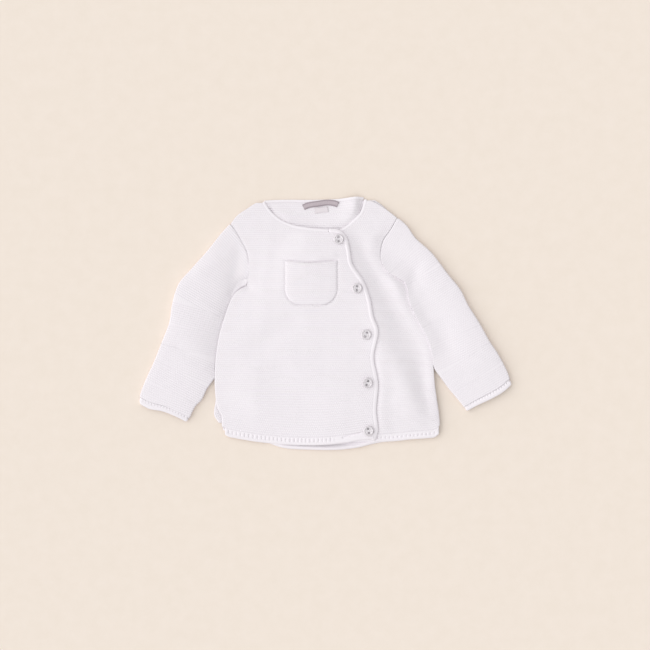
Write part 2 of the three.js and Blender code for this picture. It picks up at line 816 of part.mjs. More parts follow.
function pocket() {
  const rows = [0, 0.6, 2, 4.5, 8.5, 14, 22, 32, 42, POCKET.height - 1.4, POCKET.height];
  const columns = 12;
  const bottom = rows.map((rise) => {
    const short = Math.max(0, POCKET.corner - rise);
    const side = POCKET.corner - Math.sqrt(POCKET.corner ** 2 - short ** 2);
    const left = POCKET.left + side;
    const right = POCKET.right - side;
    return Array.from({ length: columns }, (_, column) => {
      const share = column / (columns - 1);
      const eased = 0.5 - 0.5 * Math.cos(Math.PI * share);
      const x = THREE.MathUtils.lerp(left, right, THREE.MathUtils.lerp(share, eased, 0.5));
      const sag = POCKET.dip * Math.sin(Math.PI * share) * (rise / POCKET.height) ** 3;
      const y = POCKET.bottom + rise - sag;
      return new THREE.Vector3(x, y, rightFrontBase(x, y) + CLOTH + POCKET.gap);
    });
  });
  const top = bottom.map((row, number) => row.map((point, column) => {
    const atEdge = number === 0 || number === rows.length - 1 || column === 0 || column === columns - 1;
    return new THREE.Vector3(point.x, point.y, point.z + (atEdge ? CLOTH * 0.6 : CLOTH));
  }));
  return closedSheet(top, bottom);
}

function toManifold(geometry) {
  const bare = geometry.clone();
  bare.deleteAttribute('normal');
  bare.deleteAttribute('uv');
  const merged = BufferGeometryUtils.mergeVertices(bare, 1e-4);
  return new wasm.Manifold(new wasm.Mesh({
    numProp: 3,
    vertProperties: new Float32Array(merged.getAttribute('position').array),
    triVerts: new Uint32Array(merged.getIndex().array),
  }));
}

function fromManifold(shape) {
  const mesh = shape.getMesh();
  const geometry = new THREE.BufferGeometry();
  geometry.setAttribute('position', new THREE.BufferAttribute(new Float32Array(mesh.vertProperties), 3));
  geometry.setIndex(new THREE.BufferAttribute(new Uint32Array(mesh.triVerts), 1));
  geometry.computeVertexNormals();
  return geometry;
}

// A round button with a raised rim, dished inside it, and two thread holes
function button() {
  const radius = BUTTON.diameter / 2;
  const inside = radius - BUTTON.rim;
  const floor = BUTTON.thickness - BUTTON.dish;
  const profile = [
    [0, 0], [radius - 1, 0], [radius, 1], [radius - 0.7, BUTTON.thickness],
    [inside, BUTTON.thickness - 0.2], [inside - 0.6, floor], [0, floor],
  ].map(([across, up]) => new THREE.Vector2(across, up));
  const disc = new THREE.LatheGeometry(profile, 16).rotateX(Math.PI / 2);
  const drill = new THREE.CylinderGeometry(BUTTON.hole / 2, BUTTON.hole / 2, BUTTON.thickness * 3, 8)
    .rotateX(Math.PI / 2);
  let shape = toManifold(facingOut(BufferGeometryUtils.mergeVertices(disc)));
  [-1, 1].forEach((side) => {
    const hole = drill.clone().translate((side * BUTTON.holeSpacing) / 2, 0, 0);
    shape = shape.subtract(toManifold(hole));
  });
  return fromManifold(shape);
}

// A button lies just above the highest cloth in its footprint
function buttonSeat(x, y) {
  const panelTop = rightFrontBase(x, y) + CLOTH;
  const hemTop = y < -120 ? panelTop + HEM_RIB_RISE : panelTop;
  return Math.max(hemTop, panelTop + EDGE_ROLL_HEIGHT - CLOTH) + SEAM_GAP;
}

function tape({ width, height, thickness }) {
  const shape = new THREE.Shape([
    new THREE.Vector2(-width / 2, -height / 2),
    new THREE.Vector2(width / 2, -height / 2),
    new THREE.Vector2(width / 2, height / 2),
    new THREE.Vector2(-width / 2, height / 2),
  ]);
  return new THREE.ExtrudeGeometry(shape, { depth: thickness, bevelEnabled: false });
}

// Materials

function material(color, roughness, metalness) {
  return new THREE.MeshStandardMaterial({ color, roughness, metalness });
}

const cotton = material('#f1ecf0', 0.92, 0);
const metal = material('#b9b6ba', 0.38, 0.8);
const greyTape = material('#9d98a0', 0.85, 0);
const whiteTape = material('#f3f1f2', 0.85, 0);

// Assembly

const cardigan = new THREE.Group();

function add(name, geometry, finish, place = [0, 0, 0], turn = 0) {
  const mesh = new THREE.Mesh(geometry, finish);
  mesh.name = name;
  mesh.position.set(...place);
  mesh.rotation.z = turn;
  cardigan.add(mesh);
}

add('back', backPanel(), cotton.clone());
add('front_right', rightFrontPanel(), cotton.clone());
add('front_left', leftFrontPanel(), cotton.clone());

const rightEdges = sleeveEdges(RIGHT_SLEEVE, rightSideBack, rightArmhole, 1);
const leftEdges = sleeveEdges(LEFT_SLEEVE, leftSide, leftArmhole, -1);
add('sleeve_right', sleeve(rightEdges), cotton.clone());
add('sleeve_left', sleeve(leftEdges), cotton.clone());
add('cuff_right', cuff(rightEdges), cotton.clone());
add('cuff_left', cuff(leftEdges), cotton.clone());

add('hem_back', hemBand(backHem, { left: -123, right: 131 }, { left: -46, right: 52, rows: 1 }, flatBase),
  cotton.clone());
add('hem_right_front', hemBand(rightFrontHem, { left: -120.6, right: 55.2 },
  { left: -120.6, right: 55.2, rows: 2 }, rightFrontBase), cotton.clone());
add('hem_left_front', hemBand(leftFrontHem, { left: 18.4, right: 136 },
  { left: 66, right: 136, rows: 2 }, leftFrontBase), cotton.clone());

add('neck_back', rolledEdge(raised(backNeck, -NECK_ROLL / 2), NECK_ROLL, CLOTH, 12, flatBase),
  cotton.clone());
add('neck_right_front', rolledEdge(offset(rightNeck, NECK_ROLL / 2), NECK_ROLL, NECK_ROLL_HEIGHT, 16,
  rightFrontBase), cotton.clone());
add('neck_left_front', rolledEdge(offset(leftNeck, -NECK_ROLL / 2), NECK_ROLL, CLOTH, 12,
  leftFrontBase), cotton.clone());
add('front_edge', rolledEdge(offset(rightFrontEdge, EDGE_ROLL / 2).slice(0, -6), EDGE_ROLL,
  EDGE_ROLL_HEIGHT, 32, rightFrontBase), cotton.clone());

add('pocket', pocket(), cotton.clone());
BUTTON_SEATS.forEach((seat, number) => {
  const place = [seat.x, seat.y, buttonSeat(seat.x, seat.y)];
  add(`button_${number + 1}`, button(), metal.clone(), place, seat.turn);
});
add('neck_label', tape(LABEL), greyTape, [LABEL.x, LABEL.y, LAYER], LABEL.turn);
add('size_tab', tape(TAB), whiteTape, [TAB.x, TAB.y, LAYER], TAB.turn);

export default cardigan;
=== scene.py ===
"""Baby cardigan laid flat: garter-stitch cotton, wrapped front, five metal buttons.

Sizes are in millimetres in the frame of the model: +X towards the wearer's left sleeve,
+Y towards the neck, +Z up. Meshes are written in metres.
"""
import math

import bmesh
import bpy
import numpy as np
from mathutils import Matrix, Vector


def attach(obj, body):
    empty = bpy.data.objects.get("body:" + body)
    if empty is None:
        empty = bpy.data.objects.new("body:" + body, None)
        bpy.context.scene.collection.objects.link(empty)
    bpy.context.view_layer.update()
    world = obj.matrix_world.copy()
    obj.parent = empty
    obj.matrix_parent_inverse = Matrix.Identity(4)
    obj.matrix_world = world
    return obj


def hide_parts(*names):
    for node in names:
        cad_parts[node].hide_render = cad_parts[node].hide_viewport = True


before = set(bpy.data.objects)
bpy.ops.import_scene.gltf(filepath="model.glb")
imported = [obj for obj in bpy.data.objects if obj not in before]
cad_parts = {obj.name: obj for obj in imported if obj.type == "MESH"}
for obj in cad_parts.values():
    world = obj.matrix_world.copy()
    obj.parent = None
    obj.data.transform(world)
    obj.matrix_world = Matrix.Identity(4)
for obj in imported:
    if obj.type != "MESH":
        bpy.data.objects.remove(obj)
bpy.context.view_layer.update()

# Driving dimensions
MM = 0.001
CLOTH = 2.2
SEAM_GAP = 0.3
LAYER = CLOTH + SEAM_GAP
RIDGE_PITCH = 2.6
RIDGE_DEPTH = 0.55
STITCH_WIDTH = 2.3
EDGING_PITCH = 1.9
EDGING_STITCH = 2.1
HEM_BAND = 9.6
HEM_RIB_PITCH = 4.9
SLIT_DEPTH = 1.25
SLIT_HALF = 0.7
CUFF_BAND = 6.0
CUFF_RIBS = 16
CUFF_GROOVE = 1.3
NECK_ROLL = 3.6
EDGE_ROLL = 4.8
ROLL_BUMP = 0.2
SLEEVE_ARMHOLE, SLEEVE_MIDDLE, SLEEVE_CUFF = 4.9, 6.2, 5.4
SLEEVE_LENGTH = 240.0
SLEEVE_DEPTH = 0.42
SWELL = 5.0

# How far a seam's edges meet, the fronts lap, and a hem or an armhole bends the rows beside it
TOUCH = 0.12
TUCK = -0.15
LAP_START, LAP_END, LAP_TOP = 86.0, 12.0, 96.0
HEM_BEND = 60.0
HEM_CORNER = 6.0
BOW_REACH = 0.3

# Steps of the meshes. A coarse side takes every nth row, and a panel's columns close up at its sides.
ROWS_PER_RIDGE = 4
ROW_STEP = RIDGE_PITCH / ROWS_PER_RIDGE
COLUMN_STEP = 2.7
HEM_STEP = 0.55
ROLL_STEP = 0.9
COARSE, BAND_COARSE = 16, 8
EDGE_REACH = 3.4
EDGE_COLUMNS = np.array([0, 0.35, 0.8, 1.4, 2.2])
TUBE_TOP, TUBE_UNDER, TUBE_CAP = 84, 30, 4

# The photograph's frame on the floor, and the light
PHOTO_WIDTH = 780.0
PHOTO_CENTRE = (-0.6, -1.8)
CAMERA_HEIGHT = 2600.0
FLOOR_REACH = 3.0
SUN_PLACE = (-1.3, 0.05, 1.15)
SUN_STRENGTH, SUN_ANGLE, ROOM_STRENGTH = 1.6, 85, 0.68

# Curves

def smooth(rows, per_span=10):
    """A Catmull-Rom curve through the rows, as an array of points."""
    points = np.array(rows, float)
    last = len(points) - 1
    out = []
    for step in range(last * per_span + 1):
        place = step / per_span
        span = min(int(place), last)
        t = place - span
        p0, p1, p2, p3 = (points[min(max(span + near, 0), last)] for near in (-1, 0, 1, 2))
        v0 = (p2 - p0) / 2
        v1 = (p3 - p1) / 2
        cubic = 2 * p1 - 2 * p2 + v0 + v1
        square = -3 * p1 + 3 * p2 - 2 * v0 - v1
        out.append(cubic * t ** 3 + square * t ** 2 + v0 * t + p1)
    return np.array(out)


def directions(line):
    along = np.gradient(line, axis=0)
    return along / np.linalg.norm(along, axis=1, keepdims=True)


def offset(line, distance):
    """The line moved to its left by a distance."""
    along = directions(line)
    return line + distance * np.column_stack([-along[:, 1], along[:, 0]])


def raised(line, distance):
    return line + np.array([0.0, distance])


def crossing(line, axis, value):
    """Where a line that rises along an axis passes the values. Level parts are made to rise by a hair."""
    order = np.maximum.accumulate(line[:, axis] + np.arange(len(line)) * 1e-7)
    return np.interp(value, order, line[:, 1 - axis])


def x_at(line, y):
    return crossing(line, 1, y)


def y_at(line, x):
    return crossing(line, 0, x)


def steps_of(line):
    """How far along the line each of its points lies."""
    return np.concatenate([[0], np.cumsum(np.linalg.norm(np.diff(line, axis=0), axis=1))])


def length_of(line):
    return steps_of(line)[-1]


def points_at(line, share):
    """Points at shares of the line's length: an array of shares gives an array of points."""
    run = steps_of(line)
    place = np.asarray(share) * run[-1]
    return stack(np.interp(place, run, line[:, 0]), np.interp(place, run, line[:, 1]))


def stack(*parts):
    """Numbers of one shape, or that broadcast to one, as the last axis of one array."""
    return np.stack(np.broadcast_arrays(*parts), axis=-1)


def smoothstep(value, low, high):
    t = np.clip((value - low) / (high - low), 0, 1)
    return t * t * (3 - 2 * t)


def within(value, start, full, ebb, end):
    """Rises from 0 to 1 between start and full, and falls back between ebb and end."""
    return smoothstep(value, start, full) * (1 - smoothstep(value, ebb, end))


def bell(value, middle, half):
    return np.exp(-((value - middle) / half) ** 2)


def ripple(x, y, scale, seed):
    """Soft, uneven waves between about -1 and 1, the same in each run."""
    rng = np.random.default_rng(seed)
    total = np.zeros(np.broadcast(x, y).shape)
    for _ in range(6):
        angle = rng.uniform(0, math.tau)
        size = scale * rng.uniform(0.6, 1.7)
        phase = rng.uniform(0, math.tau)
        total = total + np.sin((x * math.cos(angle) + y * math.sin(angle)) / size * math.tau + phase)
    return total / 3.2


# Body outline, wearer's right (at -X), from the hem up to the underarm
RIGHT_SIDE = [
    (-122.4, -130), (-130.2, -121), (-133.8, -112), (-131.6, -92), (-132.8, -68), (-131.4, -41),
    (-127.3, -15), (-120.6, 8), (-113.4, 28), (-106, 38.5), (-94.2, 45),
]
RIGHT_SIDE_FRONT = [(-120.6, -136), (-124, -127), (-124.6, -114), (-130.4, -100)] + RIGHT_SIDE[4:]
RIGHT_ARMHOLE = smooth([
    (-94.2, 45), (-92.3, 58), (-91.8, 74), (-93.6, 85), (-99, 96.6), (-106.6, 109), (-113.4, 119.4),
])
RIGHT_SHOULDER = smooth([(-113.4, 119.4), (-106.2, 129), (-95, 137), (-84, 144), (-74, 148)])

# Body outline, wearer's left (at +X)
LEFT_SIDE = smooth([
    (136, -134), (136.8, -124), (135, -104), (130.8, -72), (128.6, -48), (125.4, -28), (117, -9),
    (106, 11), (99.5, 28), (98.4, 40), (95.4, 48.4), (87, 54), (75.7, 60.6), (68.4, 69),
])
LEFT_ARMHOLE = smooth([(68.4, 69), (65.4, 82), (68.6, 98.6), (77.6, 112), (85.8, 126.6)])
LEFT_SHOULDER = smooth([(85.8, 126.6), (76, 134.4), (64, 142.4), (52.6, 148), (46.4, 150.6)])

# Necklines and front edges
BACK_NECK = smooth([(-74, 147.6), (-50, 148.6), (-14, 148.4), (16, 149.6), (36, 152), (46.4, 151.4)])
RIGHT_NECK = smooth([
    (17, 112.2), (3, 113.2), (-18, 114.8), (-38, 118.2), (-54, 125), (-65.4, 135), (-73.4, 146.8),
])
LEFT_NECK = smooth([(-10, 106), (6, 108.6), (21, 114.6), (32, 123), (42, 134), (46.6, 149.6)])
RIGHT_FRONT_EDGE = smooth([
    (60.4, -138.6), (63, -127), (60.8, -103), (63, -76), (61.6, -62), (57.7, -39), (63, -10),
    (57, 9), (53.6, 29), (45.6, 51), (32.4, 71), (29.6, 86), (25.8, 102), (17, 112.2),
])
LEFT_FRONT_EDGE = smooth([(18, -139), (20, -70), (20, -10), (11, 28), (-8, 72), (-16, 96), (-10, 106)])

# Lowest lines of the hems, from -X to +X
BACK_HEM = smooth([
    (-124, -128.6), (-100, -134), (-76, -140.6), (-50, -149.4), (-20, -151.4), (14, -151.6),
    (40, -148.6), (62, -143.4), (100, -138), (132, -131.6),
])
RIGHT_FRONT_HEM = smooth([
    (-122, -133.4), (-114, -136.4), (-97, -139.6), (-77, -142.6), (-45, -145.4), (-8, -146), (20, -143.6),
    (42, -140), (60.4, -138.2),
])
LEFT_FRONT_HEM = smooth([(18, -142), (74, -141.6), (102, -139), (122, -137.6), (131, -136.4), (136.4, -132)])

# Sleeves: outer edge from the shoulder to the cuff, inner edge below the body's side, cuff, and
# the swell at shares of the width from the outer to the inner edge, beside the body and below it.
# wall is the inner edge's curve beside the body, and lean lifts the swell there at the armhole.
ACROSS = (0, 0.12, 0.3, 0.45, 0.6, 0.75, 0.88, 1)
RIGHT_SLEEVE = {
    "outer": [
        (-114.2, 120), (-124.6, 109), (-141, 88.4), (-160, 66.8), (-176, 48), (-183.6, 25),
        (-187.4, 2), (-195.6, -20), (-206, -46), (-216, -68), (-222.4, -85), (-222.8, -96),
    ],
    "inner_end": [(-135.6, -70), (-142, -79), (-148, -91.4), (-156, -100), (-162, -112), (-166.6, -118)],
    "cuff": [(-222.8, -96), (-211, -102.4), (-195, -105.4), (-180.6, -111), (-166.6, -118)],
    "beside": (2.4, 3.3, 3.5, 3.1, 2.2, 0.7, -1.3, -3.2),
    "below": (0.9, 1.5, 1.7, 1.8, 1.8, 1.6, 1.0, 0),
    "wall": 1.2,
    "lean": 0.0,
}
LEFT_SLEEVE = {
    "outer": [
        (86.4, 127.4), (97.8, 117.6), (108.6, 102.4), (128, 84.6), (147, 59.6), (162, 41),
        (171.6, 22), (184.8, 1), (196.4, -19.8), (206.4, -35), (217.6, -56), (223.2, -73),
    ],
    "inner_end": [(130.4, -55), (137.4, -64.4), (147, -77.6), (159, -92), (169.4, -105)],
    "cuff": [(223.2, -73), (211.4, -83), (196, -91.6), (183, -97.6), (169.4, -105)],
    "beside": (1.8, 2.6, 2.4, 1.4, 0.3, 0.6, 1.6, 2.5),
    "below": (2.2, 3.4, 3.6, 3.2, 2.5, 1.7, 0.9, 0.2),
    "wall": 0.4,
    "lean": 0.6,
}

# Large folds, each a soft line of places (x, y, height, half width to its right, to its left)
BODY_RIDGES = [
    [(58, 100, 0.3, 8, 8), (70, 74, 0.8, 9, 9), (84, 43, 1.3, 10, 11), (101, 13, 1.6, 10, 13),
     (119, -12, 1.8, 10, 14), (126, -34, 1.8, 10, 12), (129, -62, 1.9, 9, 10), (132, -92, 1.9, 8, 9),
     (135, -124, 1.4, 7, 7)],
    [(44, 64, 0.3, 10, 8), (52, 36, 0.6, 12, 10), (58, 8, 1.4, 14, 11), (64, -18, 2.7, 15, 13),
     (82, -49, 3.3, 15, 18), (98, -80, 2.8, 13, 20), (107, -97, 1.7, 11, 18), (112, -110, 0.7, 8, 14)],
]
BODY_TROUGHS = [
    [(35, 110, 2.8, 10, 8), (50, 76, 4.7, 11, 14), (69, 44, 5.0, 13, 15), (89, 14, 5.0, 13, 18),
     (102, -7, 5.0, 13, 22), (110, -20, 5.0, 12, 24), (115, -36, 5.0, 11, 22), (118, -50, 5.0, 10, 19),
     (119, -66, 4.8, 9, 16), (121, -84, 3.9, 9, 14), (125, -100, 2.6, 9, 12), (129, -116, 1.0, 7, 9)],
]

# Smaller creases: from x0, y0 to x1, y1, height (a trough is negative), half width
BODY_CREASES = [
    (-70, 84, -78, 40, 0.7, 6), (10, 82, -12, 78, 0.9, 3.5), (-60, 128, -72, 96, 0.5, 8),
    (-110, -50, -40, 0, -1.2, 14), (-90, 44, -80, 36, -0.4, 5),
    (-30, -60, 34, -72, 0.5, 12), (-90, -96, -40, -104, 0.5, 10), (70, 108, 84, 96, 0.7, 6),
]
BACK_CREASES = [(14, 136, 2, 120, 0.6, 10), (-58, 140, -44, 126, 0.8, 7), (-70, 143, -71, 146, 1.0, 4)]
BACK_FOLDS = [
    [(36, 152, 4.2, 6, 13), (35.5, 141, 4.8, 6, 13), (31, 130, 3.2, 6, 13), (21, 121, 1.9, 6, 10),
     (10, 115, 1.0, 6, 9)],
]
SLEEVE_CREASES = [
    (-109, 48, -104, 84, -1.5, 9), (-130, 14, -150, 26, 0.6, 5), (-176, -30, -150, -46, -0.5, 6),
    (101, 48, 112, 71, -0.8, 7), (103, 36, 121, 10, -0.8, 9), (121, 10, 147, -30, -0.6, 9),
    (150, -72, 172, -62, -0.4, 7), (-150, 60, -130, 76, 0.6, 8), (-99, 47, -96, 50, -2.4, 6),
    (-112, 36, -104, 42, -1.2, 5),
]

# Buttons: place and turn of each, and their thread
BUTTON_SEATS = [
    (15.6, 100.8, 1.62), (37.6, 42.2, 1.49), (48.4, -13.2, 1.13), (50, -71, 1.18), (51.4, -128.4, 1.78),
]
BUTTON_HOLE_SPACING = 4.8
BUTTON_HOLE_RADIUS = 1.4
BUTTON_LIFT = 0.35
THREAD_RADIUS = 0.24
THREAD_SPACING = 0.42

POCKET_LEFT, POCKET_RIGHT, POCKET_BOTTOM, POCKET_HEIGHT = -48.0, 13.8, 22.4, 52.8
POCKET_DIP = 2.6
POCKET_CORNER = 19.0
# Columns of the front beside the pocket: share of the width, place and number of columns before it
POCKET_ANCHORS = [(0.25, -52.0, 15), (0.3, -44.5, 12), (0.7, 10.0, 20), (0.75, 17.5, 12)]
POCKET_LAST_COLUMNS = 14

# Middle lines of the neck label and of the tab below it
LABEL_LINE = smooth([(-26.4, 139.2), (-20.4, 141.8), (-9, 143.6), (2, 145), (10.6, 144.2), (15, 142.2)])
TAB_LINE = smooth([(-13, 135.2), (-5, 136.2), (3, 136.6)])

# Both ends of the front edge's roll: round the lower corner, and round the corner at the neck
LOWER_ROLL = smooth([(56.0, -139.8), (57.8, -137.2), (59.4, -133.2), (60.3, -129.6)], 4)
CORNER_ROLL = smooth([(21.6, 104.2), (18.2, 108.2), (13.4, 110.6), (8.4, 111.2), (3.6, 111.3)], 4)
FRONT_ROLL_HEIGHTS = [(0, 2.2), (0.12, 2.0), (0.4, 2.0), (0.52, 2.8), (0.85, 3.1), (0.97, 3.1), (1, 3.3)]


# Outlines of the body

outline_right = np.vstack([smooth(RIGHT_SIDE), RIGHT_ARMHOLE[1:], RIGHT_SHOULDER[1:]])
outline_right_front = np.vstack([smooth(RIGHT_SIDE_FRONT), RIGHT_ARMHOLE[1:], RIGHT_SHOULDER[1:]])
outline_left = np.vstack([LEFT_SIDE, LEFT_ARMHOLE[1:], LEFT_SHOULDER[1:]])


# Heights of the layers

def nearest_on(x, y, x0, y0, x1, y1):
    """Of the straight from x0, y0 to x1, y1: the share where it passes nearest, and the distance there."""
    dx, dy = x1 - x0, y1 - y0
    share = np.clip(((x - x0) * dx + (y - y0) * dy) / (dx * dx + dy * dy), 0, 1)
    return share, np.hypot(x - x0 - share * dx, y - y0 - share * dy)


def fold_height(folds, x, y):
    """The height of soft lines of places, the nearest part of each. A line runs down the body."""
    total = np.zeros(np.broadcast(x, y).shape)
    for fold in folds:
        for (x0, y0, h0, r0, l0), (x1, y1, h1, r1, l1) in zip(fold, fold[1:]):
            share, far = nearest_on(x, y, x0, y0, x1, y1)
            on_right = (x1 - x0) * (y - y0) - (y1 - y0) * (x - x0) > 0
            half = np.where(on_right, r0 + (r1 - r0) * share, l0 + (l1 - l0) * share)
            total = np.maximum(total, (h0 + (h1 - h0) * share) * bell(far, 0, half))
    return total


def crease_height(creases, x, y):
    total = np.zeros(np.broadcast(x, y).shape)
    for x0, y0, x1, y1, height, half in creases:
        _, far = nearest_on(x, y, x0, y0, x1, y1)
        total = total + height * bell(far, 0, half)
    return total


def lap_rise(x, y):
    """How far the over front climbs where it laps the under front."""
    edge = x_at(LEFT_FRONT_EDGE, np.minimum(y, LAP_TOP))
    high = smoothstep(y, 50, 108)
    rise = LAYER * smoothstep(x, edge - LAP_START + 54 * high, edge - LAP_END + 8 * high)
    return rise * (1 - 0.75 * smoothstep(y - y_at(LEFT_NECK, x), -2, 8))


def body_swell(x, y):
    """The body stands proud of its edges, and its folds and creases run down from there."""
    from_right = x - x_at(outline_right, y)
    from_left = x_at(outline_left, y) - x
    inside = (0.35 + 0.65 * smoothstep(from_right, -2, 52)) * smoothstep(from_left, -2, 17)
    inside = inside * within(y, -148, -98, 74, 128)
    soft = (SWELL + 0.35 * ripple(x, y, 90, 3) + crease_height(BODY_CREASES, x, y)
            - fold_height(BODY_TROUGHS, x, y)) * inside
    return np.maximum(soft + fold_height(BODY_RIDGES, x, y), 0)


def left_front_base(x, y):
    return LAYER + body_swell(x, y)


def right_front_base(x, y):
    return left_front_base(x, y) + lap_rise(x, y)


def flat_base(x, y):
    return np.zeros(np.broadcast(x, y).shape)


def left_front_seen(x, y):
    """The under front stands a little fuller beside the lower part of the edge that laps it."""
    beyond = x - x_at(RIGHT_FRONT_EDGE, y)
    bank = 1.3 * within(beyond, 0.3, 4.5, 5, 20)
    return left_front_base(x, y) + bank * within(y, -136, -120, -50, -20)


def back_swell(x, y):
    """The back's inner face shows in the neck, where it lies in soft creases."""
    inside = within(y, 100, 122, 138, 150)
    folds = fold_height(BACK_FOLDS, x, y) * smoothstep(y, 100, 122)
    return np.maximum(crease_height(BACK_CREASES, x, y) * inside, 0) + folds


def back_dents(x, y):
    """Deep corners of the neck opening."""
    right = 0.6 * bell(x, -65, 3.4) * bell(y, 135, 4)
    left = bell(x, 43.5, 5.5) * bell(y, 139, 10)
    return 1.85 * np.maximum(right, left)


def pocket_distance(x, y):
    """Signed distance from the pocket's outline, negative inside."""
    half = (POCKET_RIGHT - POCKET_LEFT) / 2
    aside = np.abs(x - (POCKET_LEFT + POCKET_RIGHT) / 2)
    share = np.clip((x - POCKET_LEFT) / (2 * half), 0, 1)
    above = y - (POCKET_BOTTOM + POCKET_HEIGHT - POCKET_DIP * np.sin(math.pi * share))
    plain = np.maximum(np.maximum(aside - half, above), POCKET_BOTTOM - y)
    corner_x = aside - (half - POCKET_CORNER)
    corner_y = POCKET_BOTTOM + POCKET_CORNER - y
    corner = np.hypot(np.maximum(corner_x, 0), np.maximum(corner_y, 0)) - POCKET_CORNER
    return np.where((corner_x > 0) & (corner_y > 0), corner, plain)


def front_dents(x, y):
    """The furrow sewn round the pocket and the deep corner of the underarm."""
    level = smoothstep(np.abs(x - (POCKET_LEFT + POCKET_RIGHT) / 2), 30, 24)
    furrow = (0.7 + 0.6 * level) * bell(pocket_distance(x, y), 0.6, 1.15)
    underarm = 1.8 * bell(x, -93, 5.2) * bell(y, 43, 5.2)
    return furrow + underarm


# Materials

class Nodes:
    """A short way to add nodes to a material."""

    def __init__(self, name):
        self.material = bpy.data.materials.new(name)
        self.material.use_nodes = True
        self.tree = self.material.node_tree
        self.shader = self.tree.nodes["Principled BSDF"]

    def add(self, kind, inputs=(), **settings):
        node = self.tree.nodes.new(kind)
        for key, value in settings.items():
            setattr(node, key, value)
        for socket, value in dict(inputs).items():
            if isinstance(value, bpy.types.NodeSocket):
                self.tree.links.new(value, node.inputs[socket])
            else:
                node.inputs[socket].default_value = value
        return node

    def math(self, operation, first, second=0.0):
        return self.add("ShaderNodeMath", {0: first, 1: second}, operation=operation).outputs[0]

    def noise(self, scale, detail, roughness=0.6):
        place = self.add("ShaderNodeTexCoord").outputs["Object"]
        return self.add("ShaderNodeTexNoise", {
            "Vector": place, "Scale": scale, "Detail": detail, "Roughness": roughness}).outputs["Fac"]

    def ramp(self, factor, low, high, start=0.0, end=1.0):
        node = self.add("ShaderNodeValToRGB", {"Fac": factor})
        node.color_ramp.elements[0].position = start
        node.color_ramp.elements[1].position = end
        node.color_ramp.elements[0].color = (*low, 1)
        node.color_ramp.elements[1].color = (*high, 1)
        return node.outputs["Color"]

    def bump(self, height, strength, distance, before=None):
        inputs = {"Height": height, "Strength": strength, "Distance": distance}
        if before is not None:
            inputs["Normal"] = before
        return self.add("ShaderNodeBump", inputs).outputs["Normal"]

    def link(self, socket, output):
        self.tree.links.new(output, self.shader.inputs[socket])

    def knit_map(self):
        """The two knit coordinates: across the stitches, and up the rows."""
        place = self.add("ShaderNodeUVMap", uv_map="knit").outputs["UV"]
        split = self.add("ShaderNodeSeparateXYZ", {"Vector": place})
        return split.outputs["X"], split.outputs["Y"]

    def wave(self, value, turn):
        return self.math("SINE", self.math("MULTIPLY", value, turn))

    def blend(self, *parts):
        """The sum of values, each times its weight."""
        scaled = [self.math("MULTIPLY", value, weight) for value, weight in parts]
        total = scaled[0]
        for value in scaled[1:]:
            total = self.math("ADD", total, value)
        return total

    def finish(self, **settings):
        """Sets the shader's plain inputs, named with an underscore for each space."""
        for name, value in settings.items():
            self.shader.inputs[name.replace("_", " ")].default_value = value
        return self.material


def stitch_height(nodes, ridge_pitch, stitch_width):
    """Loops along each ridge, each row half a stitch beyond the last, from the knit map."""
    across, along = nodes.knit_map()
    row = nodes.math("FLOOR", nodes.math("DIVIDE", along, ridge_pitch))
    shift = nodes.math("MULTIPLY", row, 0.5)
    turn = nodes.math("ADD", nodes.math("DIVIDE", across, stitch_width), shift)
    loop = nodes.math("ABSOLUTE", nodes.wave(turn, math.pi))
    ridge = nodes.math("ABSOLUTE", nodes.wave(along, math.pi / ridge_pitch))
    return nodes.math("MULTIPLY", nodes.math("POWER", loop, 0.6), nodes.math("ADD", ridge, 0.25)), ridge


def cotton(name, ridge_pitch, stitch_width, light, deep, depth):
    """Matt cotton knit: loops on the ridges, painted shade in the valleys between ridges and loops, fine
    fibre and a soft nap.
    """
    nodes = Nodes(name)
    loops, ridge = stitch_height(nodes, ridge_pitch, stitch_width)
    fibre = nodes.noise(900, 4, 0.7)
    patches = nodes.noise(28, 3)
    # Base colour: painted shade, darker in the valleys between ridges and between loops, mixed with the
    # cotton's own fibre and patchy tone.
    painted_valley_shade_and_tone = nodes.blend((ridge, 0.42), (loops, 0.22), (fibre, 0.16), (patches, 0.3))
    nodes.link("Base Color", nodes.ramp(painted_valley_shade_and_tone, deep, light, 0.12, 0.72))
    nodes.link("Normal", nodes.bump(loops, 0.55, depth * MM, nodes.bump(fibre, 0.35, 0.0003)))
    return nodes.finish(Roughness=0.92, Specular_IOR_Level=0.2, Sheen_Weight=0.25, Sheen_Roughness=0.6)


def tape_material(name, light, deep, weave, border=None):
    """A flat woven tape: fine crossing threads, and a border from this distance aside of its middle."""
    nodes = Nodes(name)
    across, along = nodes.knit_map()
    cross = nodes.math("MULTIPLY", nodes.wave(across, math.tau / weave), nodes.wave(along, math.tau / weave))
    cross = nodes.math("ADD", nodes.math("MULTIPLY", cross, 0.5), 0.5)
    parts = [(cross, 0.6), (nodes.noise(1500, 3, 0.7), 0.5)]
    if border is not None:
        parts.append((nodes.math("GREATER_THAN", nodes.math("ABSOLUTE", along), border), -0.5))
    nodes.link("Base Color", nodes.ramp(nodes.blend(*parts), deep, light, 0.1, 0.95))
    nodes.link("Normal", nodes.bump(cross, 0.5, 0.0001))
    return nodes.finish(Roughness=0.8, Sheen_Weight=0.15)


def button_material(name, low, high):
    """Cast pewter: grey, softly polished, a little worn and mottled. Given near-black colours, it is the
    painted shade on the walls of the thread holes.
    """
    nodes = Nodes(name)
    cloudy = nodes.noise(420, 4)
    scratch = nodes.noise(2600, 2)
    nodes.link("Base Color", nodes.ramp(cloudy, low, high, 0.3, 0.7))
    nodes.link("Roughness", nodes.math("ADD", nodes.math("MULTIPLY", cloudy, 0.3), 0.2))
    nodes.link("Normal", nodes.bump(scratch, 0.25, 0.00006))
    return nodes.finish(Metallic=0.35)


